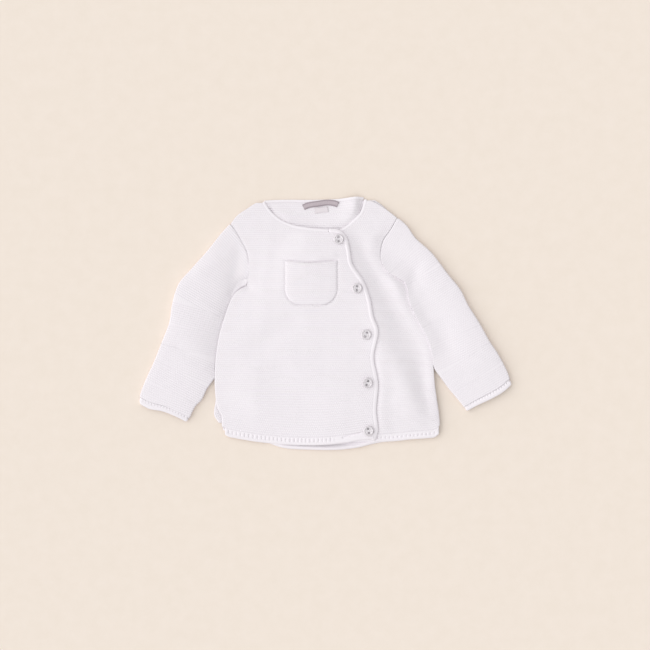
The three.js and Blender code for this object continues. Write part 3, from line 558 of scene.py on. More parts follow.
def thread_material():
    nodes = Nodes("sewing_thread")
    fibre = nodes.noise(2200, 3)
    nodes.link("Base Color", nodes.ramp(fibre, (0.72, 0.69, 0.72), (0.92, 0.9, 0.92)))
    nodes.link("Normal", nodes.bump(fibre, 0.4, 0.0001))
    return nodes.finish(Roughness=0.75)


def floor_material():
    nodes = Nodes("floor_paper")
    grain = nodes.noise(60, 3)
    nodes.link("Base Color", nodes.ramp(grain, (0.86, 0.765, 0.675), (0.88, 0.785, 0.7), 0.3, 0.7))
    return nodes.finish(Roughness=0.95, Specular_IOR_Level=0.1)


garter_knit = cotton(
    "garter_knit", RIDGE_PITCH, STITCH_WIDTH, (0.893, 0.85, 0.883), (0.824, 0.769, 0.814), 0.35)
edging_knit = cotton(
    "edging_knit", EDGING_PITCH, EDGING_STITCH, (0.92, 0.876, 0.91), (0.85, 0.798, 0.84), 0.25)
pewter = button_material("button_metal", (0.64, 0.6, 0.62), (0.88, 0.84, 0.87))
# Near-black painted shade for the walls of the buttons' thread holes.
painted_hole_shade = button_material("button_recess", (0.1, 0.09, 0.1), (0.16, 0.15, 0.16))
thread = thread_material()
grey_tape = tape_material("label_tape", (0.66, 0.58, 0.61), (0.36, 0.3, 0.33), 0.7, border=1.9)
white_tape = tape_material("tab_tape", (0.84, 0.78, 0.81), (0.72, 0.66, 0.69), 0.6)


# Meshes

def add_object(name, data):
    piece = bpy.data.objects.new(name, data)
    bpy.context.scene.collection.objects.link(piece)
    return piece


class Builder:
    """Collects grids of points into one mesh, with a map of its knit coordinates."""

    def __init__(self):
        self.points = []
        self.knit = []
        self.faces = []
        self.count = 0

    def grid(self, points, knit):
        rows, columns = points.shape[:2]
        self.points.append(points.reshape(-1, 3))
        self.knit.append(knit.reshape(-1, 2))
        index = self.count + np.arange(rows * columns).reshape(rows, columns)
        self.count += rows * columns
        return index

    def skin(self, index, flip=False):
        """Quads over a grid of point numbers."""
        quads = stack(index[:-1, :-1], index[:-1, 1:], index[1:, 1:], index[1:, :-1]).reshape(-1, 4)
        self.faces.append(quads[:, ::-1] if flip else quads)

    def strip(self, fine, coarse, flip=False):
        """Joins a fine edge to a coarse one that has every nth of its points."""
        per = (len(fine) - 1) // (len(coarse) - 1)
        step = np.arange(len(fine) - 1)
        root = coarse[step // per + (step % per >= per // 2)]
        fans = np.column_stack([fine[:-1], fine[1:], root])
        between = np.column_stack([coarse[:-1], fine[per // 2::per], coarse[1:]])
        triangles = np.vstack([fans, between])
        self.faces.append(triangles[:, ::-1] if flip else triangles)

    def ring(self, points, knit, flip=False, closed=True):
        """A grid whose last column meets its first, with a fan over each open end where closed."""
        index = self.grid(points, knit)
        index[:, -1] = index[:, 0]
        self.skin(index, flip)
        for rim, back in ((index[0], not flip), (index[-1], flip)) if closed else ():
            fan = np.array([(rim[0], rim[k], rim[k + 1]) for k in range(1, len(rim) - 2)])
            self.faces.append(fan[:, ::-1] if back else fan)

    def finish(self, name, material):
        mesh = bpy.data.meshes.new(name)
        faces = [face for block in self.faces for face in block.tolist()]
        mesh.from_pydata((np.concatenate(self.points) * MM).tolist(), [], faces)
        corners = np.concatenate([block.ravel() for block in self.faces])
        mesh.uv_layers.new(name="knit").data.foreach_set("uv", np.concatenate(self.knit)[corners].ravel())
        mesh.validate()
        mesh.shade_smooth()
        mesh.materials.append(material)
        return add_object(name, mesh)


def dress(piece, node=None):
    """The piece stands for a node, by default its name without the first word: it hangs from the root, and
    the node's solid is hidden.
    """
    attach(piece, "root")
    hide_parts(node or piece.name.split("_", 1)[1])
    return piece


def garter(v, x, seed):
    """Share of the ridge depth at a knit height v: rounded ridges with narrow valleys."""
    drift = 0.28 * ripple(x, v, 70, seed)
    phase = np.abs(np.sin(math.pi * (v / RIDGE_PITCH + drift * 0.6)))
    uneven = 1 + 0.16 * ripple(x, v, 24, seed + 1)
    return np.clip(phase ** 0.8 * uneven, 0, 1.15)


def rounding(inward, radius):
    """How far a rounded edge lies below the face, by the distance in from that edge."""
    near = np.clip(1 - inward / radius, 0, 1)
    return radius * (1 - np.sqrt(1 - near * near))


def row_count(reach):
    """How many rows a reach has, in whole coarse steps."""
    rows = int(reach / ROW_STEP)
    return rows + -rows % COARSE


def shell(name, x, y, knit, low, high, material, coarse=COARSE, garter_seed=None, garter_under=False,
          bold=1.0):
    """A closed wall over a grid of places, from its heights low to its heights high.

    A seed gives its face garter ridges, as deep as bold says, and garter_under gives them to its back.
    """
    rows = x.shape[0]
    keep = rows - (rows - 1) % coarse
    x, y, knit, low, high = (values[:keep] for values in (x, y, knit, low, high))
    bold = np.broadcast_to(bold, (rows, x.shape[1]))[:keep]
    build = Builder()
    if garter_seed is not None:
        high = high + RIDGE_DEPTH * bold * (garter(knit[..., 1], x, garter_seed) - 0.6)
    top = build.grid(stack(x, y, high), knit)
    build.skin(top)
    if garter_under:
        under = low + RIDGE_DEPTH * (1.15 - garter(knit[..., 1] + RIDGE_PITCH / 2, x, garter_seed + 7)) * 0.8
        bottom = build.grid(stack(x, y, under), knit)
        build.skin(bottom, flip=True)
        build.skin(stack(bottom[:, 0], top[:, 0]))
        build.skin(stack(top[:, -1], bottom[:, -1]))
    else:
        bottom = build.grid(stack(x, y, low)[::coarse], knit[::coarse])
        build.skin(bottom, flip=True)
        build.strip(top[:, 0], bottom[:, 0], flip=True)
        build.strip(top[:, -1], bottom[:, -1])
    build.skin(np.array([bottom[0], top[0]]))
    build.skin(np.array([top[-1], bottom[-1]]))
    return build.finish(name, material)


# Panels

# How far each side's edge is rounded off, by its height on the body
RIGHT_SEAM = ((-75, 1.5), (-60, 1.2), (40, 1.0), (52, 0.4), (62, 0.15), (70, 0.2), (84, 1.2), (120, 1.3))
LEFT_SEAM = ((-75, 1.5), (-55, 0.12), (62, 0.12), (76, 0.8), (90, 1.3))
FLUSH = ((-140, 0.25), (150, 0.25))


def panel_columns(heights, x_left, x_right, last_count, anchors):
    """Distances in from the left line: even columns, drawn to the anchors at the pocket's heights."""
    width = (x_right - x_left)[:, None]
    reach = np.minimum(width * 0.2, EDGE_REACH)
    first = EDGE_COLUMNS / EDGE_REACH * reach
    pull = within(heights, 2, 15, 82, 96)[:, None]
    marks = [reach]
    for share, place, _ in anchors:
        even = reach + (width - 2 * reach) * share
        marks.append(even + (place - x_left[:, None] - even) * pull)
    marks.append(width - reach)
    counts = [count for _, _, count in anchors] + [last_count]
    parts = [low + (high - low) * np.linspace(0, 1, count, endpoint=False)
             for low, high, count in zip(marks, marks[1:], counts)]
    return np.concatenate([first, *parts, marks[-1], width - first[:, ::-1]], axis=1), width


def panel(name, left, right, low, high, base, lowest, seed, highest=None, under=False,
          column_step=COLUMN_STEP, left_round=RIGHT_SEAM, right_round=LEFT_SEAM, dent=None, anchors=()):
    """A knitted panel between two side lines, its lowest rows bent to the hem line."""
    left = left + np.array([-TOUCH, 0.0])
    right = right + np.array([TOUCH, 0.0])
    heights = np.linspace(low, high, row_count(high - low) + 1)
    x_left = x_at(left, heights)
    x_right = x_at(right, heights)
    last_count = POCKET_LAST_COLUMNS if anchors else int((x_right - x_left).max() / column_step)
    inward, width = panel_columns(heights, x_left, x_right, last_count, anchors)
    x = x_left[:, None] + inward
    v = heights[:, None] + np.zeros_like(x)
    y = v + (1 - smoothstep(v, low, low + HEM_BEND)) * (y_at(lowest, x) - low)
    if highest is not None:
        y = y + smoothstep(v, high - 12, high) * (y_at(highest, x) - high)
    left_radius = np.interp(heights, *zip(*left_round))[:, None]
    right_radius = np.interp(heights, *zip(*right_round))[:, None]
    drop = np.maximum(rounding(inward, left_radius), rounding(width - inward, right_radius))
    drop = np.maximum(drop, np.maximum(rounding(v - low, 0.2), rounding(high - v, 0.4)))
    if dent is not None:
        drop = np.minimum(drop + dent(x, y), CLOTH - 0.35)
    bottom = base(x, y)
    bold = 0.2 + 0.8 * smoothstep(np.minimum(inward, width - inward), 0, EDGE_REACH)
    wall = shell(name, x, y, stack(x, v), bottom, bottom + CLOTH - drop, garter_knit,
                 garter_seed=seed, garter_under=under, bold=bold)
    return dress(wall)


# Bands and rolls

def hem_band(name, line, left, right, base, seed, plain_from=None, top=0.75, crease=(), lift=((0, 0.0),),
             corner=1.4, right_round=1.4):
    """The hem edging: a smooth rolled lip below a row of short upright slits between ribs.

    The slits end at x = plain_from. lift raises the lip, as pairs (x, height), and corner its left end.
    """
    columns = np.linspace(left, right, int(round((right - left) / HEM_STEP)) + 1)
    across = np.linspace(0, 1, 17)[:, None]
    x = columns + 0 * across
    curl = corner / HEM_CORNER * rounding(columns - left, HEM_CORNER)
    y = y_at(line, x) + across * (HEM_BAND + TOUCH) + curl * (1 - across)
    drift = 0.5 * ripple(columns, 0, 30, seed)
    place = (columns + drift - left) / HEM_RIB_PITCH
    far = np.abs(place - np.round(place)) * HEM_RIB_PITCH
    depth = SLIT_DEPTH + 0.3 * ripple(columns, 4, 14, seed + 2)
    slit = depth * bell(far, 0, SLIT_HALF)
    reach = top + 0.08 * ripple(columns, 9, 40, seed + 5)
    tall = within(across, 0.36, 0.46, reach, reach + 0.14)
    if plain_from is not None:
        tall = tall * (1 - smoothstep(columns, plain_from - 8, plain_from))
    rise = np.interp(columns, *zip(*lift))
    lip = (0.55 + rise) * bell(across, 0.22, 0.17 + 0.05 * rise)
    drop = np.maximum(rounding(across * HEM_BAND, 1.5), rounding((1 - across) * HEM_BAND, 0.25))
    ends = np.maximum(rounding(columns - left, 1.4), rounding(right - columns, right_round))
    drop = np.maximum(drop, ends) - crease_height(crease, x, y)
    bottom = base(x, y)
    high = bottom + CLOTH + lip + (0.12 - slit) * tall - drop
    high = np.maximum(high, bottom + 0.4)
    wall = shell(name, x, y, stack(x, y), bottom, high, edging_knit, coarse=BAND_COARSE)
    return dress(wall)


def rolled_edge(name, line, width, height, base, join, pitch=3.1):
    """A rolled edging with small stitch bumps. It meets the panel on its join side (1 left) flush.

    height is one number or a number for each share of the line, as pairs (share, height).
    """
    total = length_of(line)
    share = np.linspace(0, 1, int(total / ROLL_STEP) + 1)
    centre = points_at(line, share)
    ahead = points_at(line, np.minimum(1, share + 0.01)) - points_at(line, np.maximum(0, share - 0.01))
    along = ahead / np.linalg.norm(ahead, axis=1, keepdims=True)
    angle = np.linspace(0, math.tau, 15)
    aside, over = np.cos(angle), np.sin(angle)
    run = share * total
    if not np.isscalar(height):
        height = np.interp(share, *zip(*height))
    swell = ROLL_BUMP * (np.abs(np.sin(run / pitch * math.pi)) - 0.5)
    close = np.clip(np.minimum(run, total - run) / (width * 0.5), 0, 1)
    cap = np.sqrt(np.clip(1 - (1 - close) ** 2, 0.02, 1))
    across = np.sign(aside) * np.abs(aside) ** 0.8 * width / 2 * cap[:, None]
    up = np.abs(over) ** 0.85
    tall = ((height + swell) * cap)[:, None]
    joined = smoothstep(aside * join, 0, 0.6)
    level = np.minimum(tall * 0.45 * (1 - joined) + CLOTH * joined, tall * 0.95)
    rise = np.where(over >= 0, level + (tall - level) * up, level * (1 - up))
    x = centre[:, 0:1] - along[:, 1:2] * across
    y = centre[:, 1:2] + along[:, 0:1] * across
    z = base(x, y) + np.maximum(rise, 0)
    build = Builder()
    build.ring(stack(x, y, z), stack(run[:, None], angle * width / 4), flip=True)
    return dress(build.finish(name, edging_knit))


# Sleeves

def sleeve_edges(shape, side, armhole, outward):
    """A sleeve's shape with its four lines. outward is 1 on the wearer's right and -1 on the left."""
    top = offset(armhole, outward * TOUCH)[::-1]
    underarm = top[-1]
    beside = offset(side, outward * TUCK)[::-1]
    start = np.argmax(beside[:, 1] < underarm[1] - 1.5)
    beside = beside[start:]
    joined = beside[beside[:, 1] > shape["inner_end"][0][1] + 4]
    inner = np.vstack([underarm, joined, smooth(shape["inner_end"])])
    outer = np.vstack([top[:1], smooth(shape["outer"])[2:]])
    return dict(
        shape, armhole=top, cuff=smooth(shape["cuff"]), outer=outer, inner=inner,
        parting=length_of(np.vstack([underarm, joined])) / length_of(inner),
        cuff_start=1 - CUFF_BAND / min(length_of(outer), length_of(inner)),
        beside=smooth(stack(ACROSS, shape["beside"])), below=smooth(stack(ACROSS, shape["below"])))


def bow(line, share):
    return points_at(line, share) - (line[0] + (line[-1] - line[0]) * np.asarray(share)[..., None])


def plan_points(edges, down, across):
    """Places on the sleeve's plan. down has one value a row, across one a point."""
    near_armhole = np.maximum(0, 1 - down / BOW_REACH) ** 2
    near_cuff = np.maximum(0, 1 - (1 - down) / BOW_REACH) ** 2
    outer = points_at(edges["outer"], down)[:, None, :]
    inner = points_at(edges["inner"], down)[:, None, :]
    straight = outer + (inner - outer) * across[..., None]
    return (straight + bow(edges["armhole"], across) * near_armhole[:, None, None]
            + bow(edges["cuff"], across) * near_cuff[:, None, None])


def ring_shape(top_steps):
    """Coefficients of a flattened ring: inward = a * curve + b * inside, height = h * reach, 1 on its top."""
    angle = np.arange(TUBE_CAP + 1) / TUBE_CAP * math.pi / 2
    cap = np.column_stack([1 - np.cos(angle), 0 * angle, np.sin(angle), 0 * angle + 1])

    def half(steps):
        share = np.arange(1, steps) / steps
        flat = np.column_stack([1 - 2 * share, share, 0 * share + 1, 0 * share + 1])
        return np.vstack([cap, flat, cap[::-1] * (-1, 1, 1, 1) + (0, 1, 0, 0)])

    return np.vstack([half(top_steps), half(TUBE_UNDER)[-2:0:-1] * (1, 1, -1, 0)])


def sleeve_height(down):
    swell = np.sin(math.pi * down)
    ends = SLEEVE_ARMHOLE + (SLEEVE_CUFF - SLEEVE_ARMHOLE) * down
    return ends + swell * (SLEEVE_MIDDLE - (SLEEVE_ARMHOLE + SLEEVE_CUFF) / 2)


def sleeve_folds(edges, x, y, down, across):
    """The sleeve's own swell, which leans on the body beside it, and its creases."""
    beside = np.interp(across, *edges["beside"].T)
    below = np.interp(across, *edges["below"].T)
    change = smoothstep(down, edges["parting"] - 0.14, edges["parting"] + 0.14)[:, None]
    height = beside + (below - beside) * change
    start = 0.4 + edges["lean"] * np.clip(across, 0, 1)
    ends = start + (1 - start) * smoothstep(down, 0, 0.24)[:, None]
    ends = ends * (1 - 0.45 * smoothstep(down, 0.8, 1))[:, None]
    return height * ends + crease_height(SLEEVE_CREASES, x, y)


def rings(edges, down, shape, inset):
    """Rings of a flattened sleeve. inset is how far each point lies inside the outer form."""
    start = points_at(edges["outer"], down)
    end = points_at(edges["inner"], down)
    width = np.linalg.norm(end - start, axis=1)[:, None]
    half = sleeve_height(down)[:, None] / 2
    a, b, h, above = shape.T
    reach = half - inset
    curve = half * 0.55 - inset * 0.3
    free = smoothstep(down, edges["parting"] - 0.03, edges["parting"] + 0.08)[:, None]
    inner_curve = edges["wall"] + (curve - edges["wall"]) * free
    inside = width - 2 * inset
    inward = a * np.where(a > 0, curve, inner_curve) + b * inside
    across = np.clip((inward + inset) / width, 0, 1)
    place = plan_points(edges, down, across)
    x, y = place[..., 0], place[..., 1]
    fold = sleeve_folds(edges, x, y, down, across) * above * np.clip(h, 0, 1)
    z = half + h * reach + fold
    return stack(x, y, np.maximum(z, 0)), across * width


def tube(name, edges, down, shape, outer_inset, material, knit=None, coarse=COARSE):
    """A flattened tube of cloth: ridged outside, plain inside, open at both ends."""
    build = Builder()
    outer, run = rings(edges, down, shape, outer_inset)
    if knit is None:
        knit = stack(run, down[:, None] * SLEEVE_LENGTH)
    out = build.grid(outer, knit)
    out = np.column_stack([out, out[:, 0]])
    build.skin(out, flip=True)
    inner, _ = rings(edges, down[::coarse], shape, CLOTH)
    into = build.grid(inner, knit[::coarse])
    into = np.column_stack([into, into[:, 0]])
    build.skin(into)
    build.skin(np.array([out[0], into[0]]), flip=True)
    build.skin(np.array([into[-1], out[-1]]), flip=True)
    return build.finish(name, material)


def axis_places(edges, x, y):
    """Distance along the sleeve's middle line from the cuff up, and distance aside from it."""
    share = np.linspace(0, 1, 25)
    middle = (points_at(edges["outer"], share) + points_at(edges["inner"], share)) / 2
    middle = np.vstack([middle[0] * 2 - middle[3], middle[3::3]])[::-1]
    run = steps_of(middle)
    nearest = np.full(x.shape, np.inf)
    along = np.zeros(x.shape)
    aside = np.zeros(x.shape)
    last = len(middle) - 2
    for index, (start, end) in enumerate(zip(middle, middle[1:])):
        step = end - start
        size = np.linalg.norm(step)
        t = ((x - start[0]) * step[0] + (y - start[1]) * step[1]) / size ** 2
        t = np.clip(t, -9 if index == 0 else 0, 9 if index == last else 1)
        dx, dy = x - start[0] - t * step[0], y - start[1] - t * step[1]
        far = np.hypot(dx, dy)
        closer = far < nearest
        nearest = np.where(closer, far, nearest)
        along = np.where(closer, run[index] + t * size, along)
        aside = np.where(closer, (step[0] * dy - step[1] * dx) / size, aside)
    return along, aside


def sleeve(name, edges, seed, fade=1.0):
    """A sleeve of garter knit. fade is how much of its seam's groove shows at the underarm."""
    total = (length_of(edges["outer"]) + length_of(edges["inner"])) / 2
    reach = total * edges["cuff_start"]
    down = np.linspace(0, edges["cuff_start"], row_count(reach) + 1)
    shape = ring_shape(TUBE_TOP)
    plain, _ = rings(edges, down, shape, 0.3)
    along, aside = axis_places(edges, plain[..., 0], plain[..., 1])
    v = down[:, None] * total
    ends = np.minimum(v, (reach - v) * 6)
    inset = SLEEVE_DEPTH * (1.15 - garter(along, aside, seed))
    groove = 1 - (1 - fade) * smoothstep(shape[:, 1], 0.5, 0.75)
    inset = inset + rounding(ends, 1.7) * 0.8 * groove
    wall = tube(name, edges, down, shape, inset, garter_knit, stack(aside, along))
    return dress(wall)


def cuff(name, edges):
    """The cuff edging: a narrow lip with a row of small raised ribs."""
    share = np.linspace(0, 1, 17)
    down = edges["cuff_start"] + (1 - edges["cuff_start"]) * share
    shape = ring_shape(CUFF_RIBS * 7)
    a, b, h, above = shape.T
    rib = 0.5 - 0.5 * np.cos(math.tau * CUFF_RIBS * np.clip(b, 0, 1))
    groove = (1 - rib) ** 4 * above * bell(share, 0.16, 0.14)[:, None] * CUFF_GROOVE
    lip = 0.25 * bell(share, 0.65, 0.25)[:, None]
    edge = rounding((1 - share) * CUFF_BAND, 1.2)[:, None] + rounding(share * CUFF_BAND, 0.2)[:, None]
    inset = np.clip(0.3 + groove - lip + edge * 0.8, 0, CLOTH - 0.3)
    wall = tube(name, edges, down, shape, inset, edging_knit, coarse=BAND_COARSE)
    return dress(wall)


# The back and the two fronts

front_edge_line = offset(RIGHT_FRONT_EDGE, EDGE_ROLL)
right_neck_line = offset(RIGHT_NECK, NECK_ROLL)
corner_line = front_edge_line[front_edge_line[:, 1] < right_neck_line[0, 1] - 1]
rest_of_neck = right_neck_line[right_neck_line[:, 1] > corner_line[-1, 1]]
left_neck_line = offset(LEFT_NECK, -NECK_ROLL)
under_edge = LEFT_FRONT_EDGE[LEFT_FRONT_EDGE[:, 1] < left_neck_line[0, 1] - 1]

knit_back = panel(
    "knit_back", outline_right, outline_left, -124, 145, back_swell, raised(BACK_HEM, HEM_BAND), seed=11,
    highest=raised(BACK_NECK, -NECK_ROLL), under=True, column_step=3.2, dent=back_dents)
knit_front_left = panel(
    "knit_front_left", np.vstack([under_edge, left_neck_line]), outline_left, -128, 147, left_front_seen,
    raised(LEFT_FRONT_HEM, HEM_BAND), seed=23, left_round=FLUSH)
knit_front_right = panel(
    "knit_front_right", outline_right_front, np.vstack([corner_line, rest_of_neck]), -128, 144.5,
    right_front_base, raised(RIGHT_FRONT_HEM, HEM_BAND), seed=37, right_round=FLUSH, dent=front_dents,
    anchors=POCKET_ANCHORS)

# Sleeves and cuffs

right_edges = sleeve_edges(RIGHT_SLEEVE, smooth(RIGHT_SIDE), RIGHT_ARMHOLE, 1)
left_edges = sleeve_edges(LEFT_SLEEVE, LEFT_SIDE, LEFT_ARMHOLE, -1)
knit_sleeve_right = sleeve("knit_sleeve_right", right_edges, seed=41, fade=0.15)
knit_sleeve_left = sleeve("knit_sleeve_left", left_edges, seed=53)
edging_cuff_right = cuff("edging_cuff_right", right_edges)
edging_cuff_left = cuff("edging_cuff_left", left_edges)

# Hems and rolled edges

edging_hem_back = hem_band(
    "edging_hem_back", BACK_HEM, -123, 131, flat_base, seed=71, plain_from=-104,
    lift=((-44, 1.0), (-8, 2.6), (44, 2.8), (66, 1.2)), corner=2.4)
edging_hem_right = hem_band(
    "edging_hem_right_front", RIGHT_FRONT_HEM, -120.6, 57.3, right_front_base, seed=73, plain_from=14,
    crease=[(21, -136.6, 41, -130.4, -1.3, 1.1)], right_round=0.15)
edging_hem_left = hem_band(
    "edging_hem_left_front", LEFT_FRONT_HEM, 18.4, 136, left_front_base, seed=79, top=0.56)

front_middle = offset(RIGHT_FRONT_EDGE, EDGE_ROLL / 2)[:-8]
front_middle = front_middle[front_middle[:, 1] > -128]
front_roll_line = np.vstack([LOWER_ROLL, front_middle, CORNER_ROLL])
neck_roll_line = offset(RIGHT_NECK, NECK_ROLL / 2)
neck_roll_line = neck_roll_line[neck_roll_line[:, 0] < 6]
roll_neck_back = rolled_edge(
    "roll_neck_back", raised(BACK_NECK, -NECK_ROLL / 2), NECK_ROLL, 2.4, back_swell, join=-1)
roll_neck_right = rolled_edge(
    "roll_neck_right_front", neck_roll_line, NECK_ROLL, 2.2, right_front_base, join=1)
roll_neck_left = rolled_edge(
    "roll_neck_left_front", offset(LEFT_NECK, -NECK_ROLL / 2), NECK_ROLL, 1.9, left_front_base, join=-1)
roll_front_edge = rolled_edge(
    "roll_front_edge", front_roll_line, EDGE_ROLL, FRONT_ROLL_HEIGHTS, right_front_base, join=1, pitch=3.6)


# Pocket

def make_pocket():
    """A patch of garter knit with rounded lower corners and a slack upper edge."""
    rise = np.linspace(0, POCKET_HEIGHT, row_count(POCKET_HEIGHT) + 1)[:, None]
    short = np.maximum(0, POCKET_CORNER - rise)
    side = POCKET_CORNER - np.sqrt(np.maximum(POCKET_CORNER ** 2 - short ** 2, 0))
    left, right = POCKET_LEFT + side, POCKET_RIGHT - side
    inner = np.linspace(0, 1, 30)[1:-1]
    near = np.array([0, 0.35, 0.8, 1.5, 2.4])
    width = right - left
    middle = near[-1] + (width - 2 * near[-1]) * inner
    inward = np.concatenate([near + 0 * width, middle, width - near[::-1]], axis=1)
    x = left + inward
    share = inward / width
    sag = POCKET_DIP * np.sin(math.pi * share) * (rise / POCKET_HEIGHT) ** 3
    y = POCKET_BOTTOM + rise - sag
    edge = np.minimum(np.minimum(inward, width - inward), rise)
    lift = 0.5 * smoothstep(rise, 34, POCKET_HEIGHT) * np.sin(math.pi * share) ** 0.8
    welt = 0.4 * bell(rise, POCKET_HEIGHT - 2.2, 1.3)
    pillow = 0.3 * smoothstep(edge, 0, 9)
    rim = np.minimum(edge, POCKET_HEIGHT - rise)
    bottom = right_front_base(x, y) + CLOTH + RIDGE_DEPTH * 0.4 - 0.75 * bell(rim, 0, 1.1)
    high = bottom + CLOTH * 0.4 + pillow + lift + welt - rounding(rim, 0.6)
    wall = shell("knit_pocket", x, y, stack(x, rise), bottom + lift * 0.9, high, garter_knit, garter_seed=83)
    return dress(wall)


knit_pocket = make_pocket()


# Buttons

# Radius and height: a domed rim with a fine groove inside it, and a shallow dish in the middle
BUTTON_PROFILE = [
    (0, 0), (3, 0), (4.9, 0.05), (5.5, 0.35), (5.9, 0.9), (6, 1.4), (5.85, 1.9), (5.5, 2.25), (5.05, 2.4),
    (4.6, 2.32), (4.3, 2.05), (4.1, 1.72), (3.85, 1.62), (3.5, 1.72), (2.8, 1.66), (1.6, 1.55), (0.8, 1.5),
    (0, 1.5),
]


def lathe(name, profile, material, segments=48):
    """A closed turned form from a profile of (radius, height) that starts and ends on the axis."""
    build = Builder()
    angle = np.linspace(0, math.tau, segments + 1)
    radius, height = np.array(profile, float).T[..., None]
    points = stack(radius * np.cos(angle), radius * np.sin(angle), height)
    build.ring(points, stack(angle * radius, height), closed=False)
    return build.finish(name, material)


def thread_hole(disc, x):
    """Cuts one thread hole through a button with a many-sided pin."""
    # The pin's near-black colour passes to the hole's walls: painted shade in the hole.
    pin = lathe("pin", [(0, -1), (BUTTON_HOLE_RADIUS, -1), (BUTTON_HOLE_RADIUS, 4), (0, 4)], painted_hole_shade, 20)
    clean(pin)
    pin.location.x = x * MM
    bpy.context.view_layer.update()
    cut = disc.modifiers.new("hole", "BOOLEAN")
    cut.operation = "DIFFERENCE"
    cut.solver = "EXACT"
    cut.object = pin
    apply_modifiers(disc)
    bpy.data.objects.remove(pin)


def clean(piece):
    """Merges the doubled points at the axis of a turned form and drops empty faces."""
    form = bmesh.new()
    form.from_mesh(piece.data)
    bmesh.ops.remove_doubles(form, verts=form.verts, dist=1e-7)
    bmesh.ops.dissolve_degenerate(form, edges=form.edges, dist=1e-8)
    bmesh.ops.recalc_face_normals(form, faces=form.faces)
    form.to_mesh(piece.data)
    form.free()


def apply_modifiers(piece):
    graph = bpy.context.evaluated_depsgraph_get()
    done = bpy.data.meshes.new_from_object(piece.evaluated_get(graph))
    piece.modifiers.clear()
    piece.data = done


def thread_path():
    """Up through one hole, over the bridge and down through the other."""
    half = BUTTON_HOLE_SPACING / 2 - BUTTON_HOLE_RADIUS + 0.3
    rising = [(-half, -0.4), (-half, 1.0), (-half * 0.9, 1.7), (-half * 0.45, 1.95)]
    return rising + [(0, 2.0)] + [(-across, up) for across, up in rising[::-1]]


def strand(name, points):
    """A round thread through points (x, y, z), closed at both ends."""
    path = smooth(points, 4)
    along = directions(path)
    side = np.cross(along, np.array([0.02, 1.0, 0.03]))
    side /= np.linalg.norm(side, axis=1, keepdims=True)
    over = np.cross(side, along)
    angle = np.linspace(0, math.tau, 9)[:, None]
    around = np.cos(angle) * side[:, None, :] + np.sin(angle) * over[:, None, :]
    points = path[:, None, :] + around * THREAD_RADIUS
    build = Builder()
    build.ring(points, points[..., :2])
    return build.finish(name, thread)


def place(piece, x, y, z, turn):
    """Turns and moves a piece by changing its mesh, so that its object stays at the origin."""
    piece.data.transform(Matrix.Translation(Vector((x, y, z)) * MM) @ Matrix.Rotation(turn, 4, "Z"))


def button_seat(x, y):
    around = np.linspace(0, math.tau, 24)
    below = right_front_base(x + 5 * np.cos(around), y + 5 * np.sin(around))
    return float(np.max(below)) + CLOTH + BUTTON_LIFT


def make_button(number, x, y, turn):
    disc = lathe(f"button_disc_{number}", BUTTON_PROFILE, pewter)
    # A second slot for the painted shade on the walls of the thread holes.
    disc.data.materials.append(painted_hole_shade)
    clean(disc)
    for side in (-1, 1):
        thread_hole(disc, side * BUTTON_HOLE_SPACING / 2)
    disc.data.shade_smooth()
    disc.data.set_sharp_from_angle(angle=math.radians(42))
    height = button_seat(x, y)
    place(disc, x, y, height, turn)
    dress(disc, f"button_{number}")
    for lane in range(3):
        shift = (lane - 1) * THREAD_SPACING
        path = [(across, shift * (1 - 0.2 * abs(across)), up + 0.05 * lane) for across, up in thread_path()]
        cord = strand(f"button_thread_{number}_{lane + 1}", path)
        place(cord, x, y, height, turn)
        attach(cord, "root")


for number, (x, y, turn) in enumerate(BUTTON_SEATS, start=1):
    make_button(number, x, y, turn)


# Neck label and the tab below it

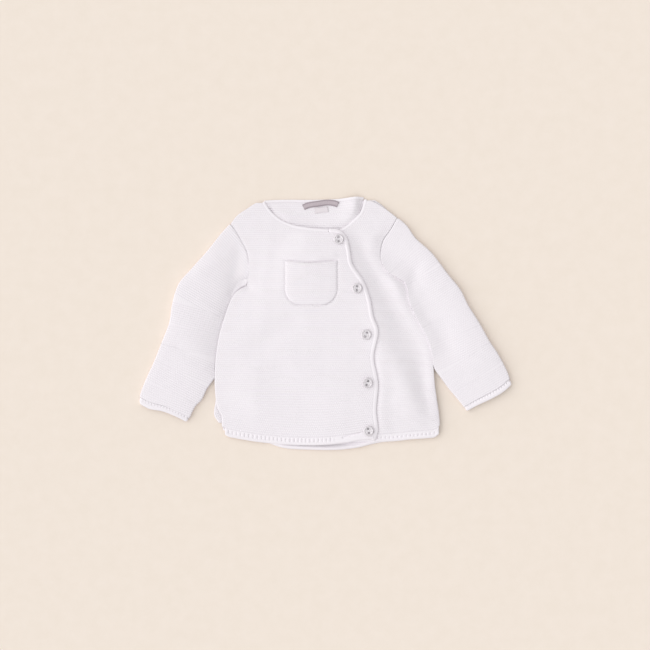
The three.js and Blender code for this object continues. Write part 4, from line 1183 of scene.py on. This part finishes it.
def make_tape(name, line, height, thickness, lift, material, wave):
    """A woven tape with soft edges that lies in a gentle wave on the back's inner face."""
    share = np.linspace(0, 1, 65)
    middle = points_at(line, share)
    along = directions(middle)
    v = np.linspace(-0.5, 0.5, 17)[:, None] * height
    u = share * length_of(line) + 0 * v
    x = middle[:, 0] - along[:, 1] * v
    y = middle[:, 1] + along[:, 0] * v
    edge = np.minimum(np.minimum(u, u.max() - u), height / 2 - np.abs(v))
    border = 0.2 * bell(edge, 0.9, 0.35)
    bow_up = wave * (0.6 - 0.4 * np.cos(u / u.max() * math.tau * 1.2)) * smoothstep(edge, 0, 3)
    bottom = CLOTH + RIDGE_DEPTH * 0.5 + back_swell(x, y) + lift + bow_up
    high = bottom + thickness - rounding(edge, thickness * 0.9) * 0.9 + border
    high = np.maximum(high, bottom + 0.08)
    wall = shell(name, x, y, stack(u, v), bottom, high, material, coarse=BAND_COARSE)
    return dress(wall)


tape_label = make_tape("tape_neck_label", LABEL_LINE, 7.0, 0.7, 0.2, grey_tape, 0.7)
tape_tab = make_tape("tape_size_tab", TAB_LINE, 6.6, 0.6, 0.1, white_tape, 0.3)


# Floor, light and camera

def make_floor():
    """Pale paper just below the garment."""
    mesh = bpy.data.meshes.new("floor")
    corners = [(x * FLOOR_REACH, y * FLOOR_REACH, 0) for x, y in ((-1, -1), (1, -1), (1, 1), (-1, 1))]
    mesh.from_pydata(corners, [], [(0, 1, 2, 3)])
    mesh.materials.append(floor_material())
    floor = add_object("floor", mesh)
    floor.location.z = -0.0002


def make_light():
    """A large, low, very soft light from the left; the rest comes from the room."""
    window = bpy.data.lights.new("window", "SUN")
    window.energy = SUN_STRENGTH
    window.angle = math.radians(SUN_ANGLE)
    lamp = add_object("window", window)
    lamp.location = SUN_PLACE
    lamp.rotation_euler = (-lamp.location).to_track_quat("-Z", "Y").to_euler()


def make_camera():
    """Straight down on the garment: the photograph's frame covers PHOTO_WIDTH of the floor."""
    data = bpy.data.cameras.new("camera")
    data.lens = data.sensor_width * CAMERA_HEIGHT / PHOTO_WIDTH
    camera = add_object("camera", data)
    camera.location = Vector((*PHOTO_CENTRE, CAMERA_HEIGHT)) * MM
    bpy.context.scene.camera = camera


def make_world():
    world = bpy.data.worlds.new("studio")
    world.use_nodes = True
    background = world.node_tree.nodes["Background"]
    background.inputs["Color"].default_value = (1, 1, 1, 1)
    background.inputs["Strength"].default_value = ROOM_STRENGTH
    bpy.context.scene.world = world


make_floor()
make_light()
make_camera()
make_world()
bpy.context.scene.view_settings.view_transform = "Standard"
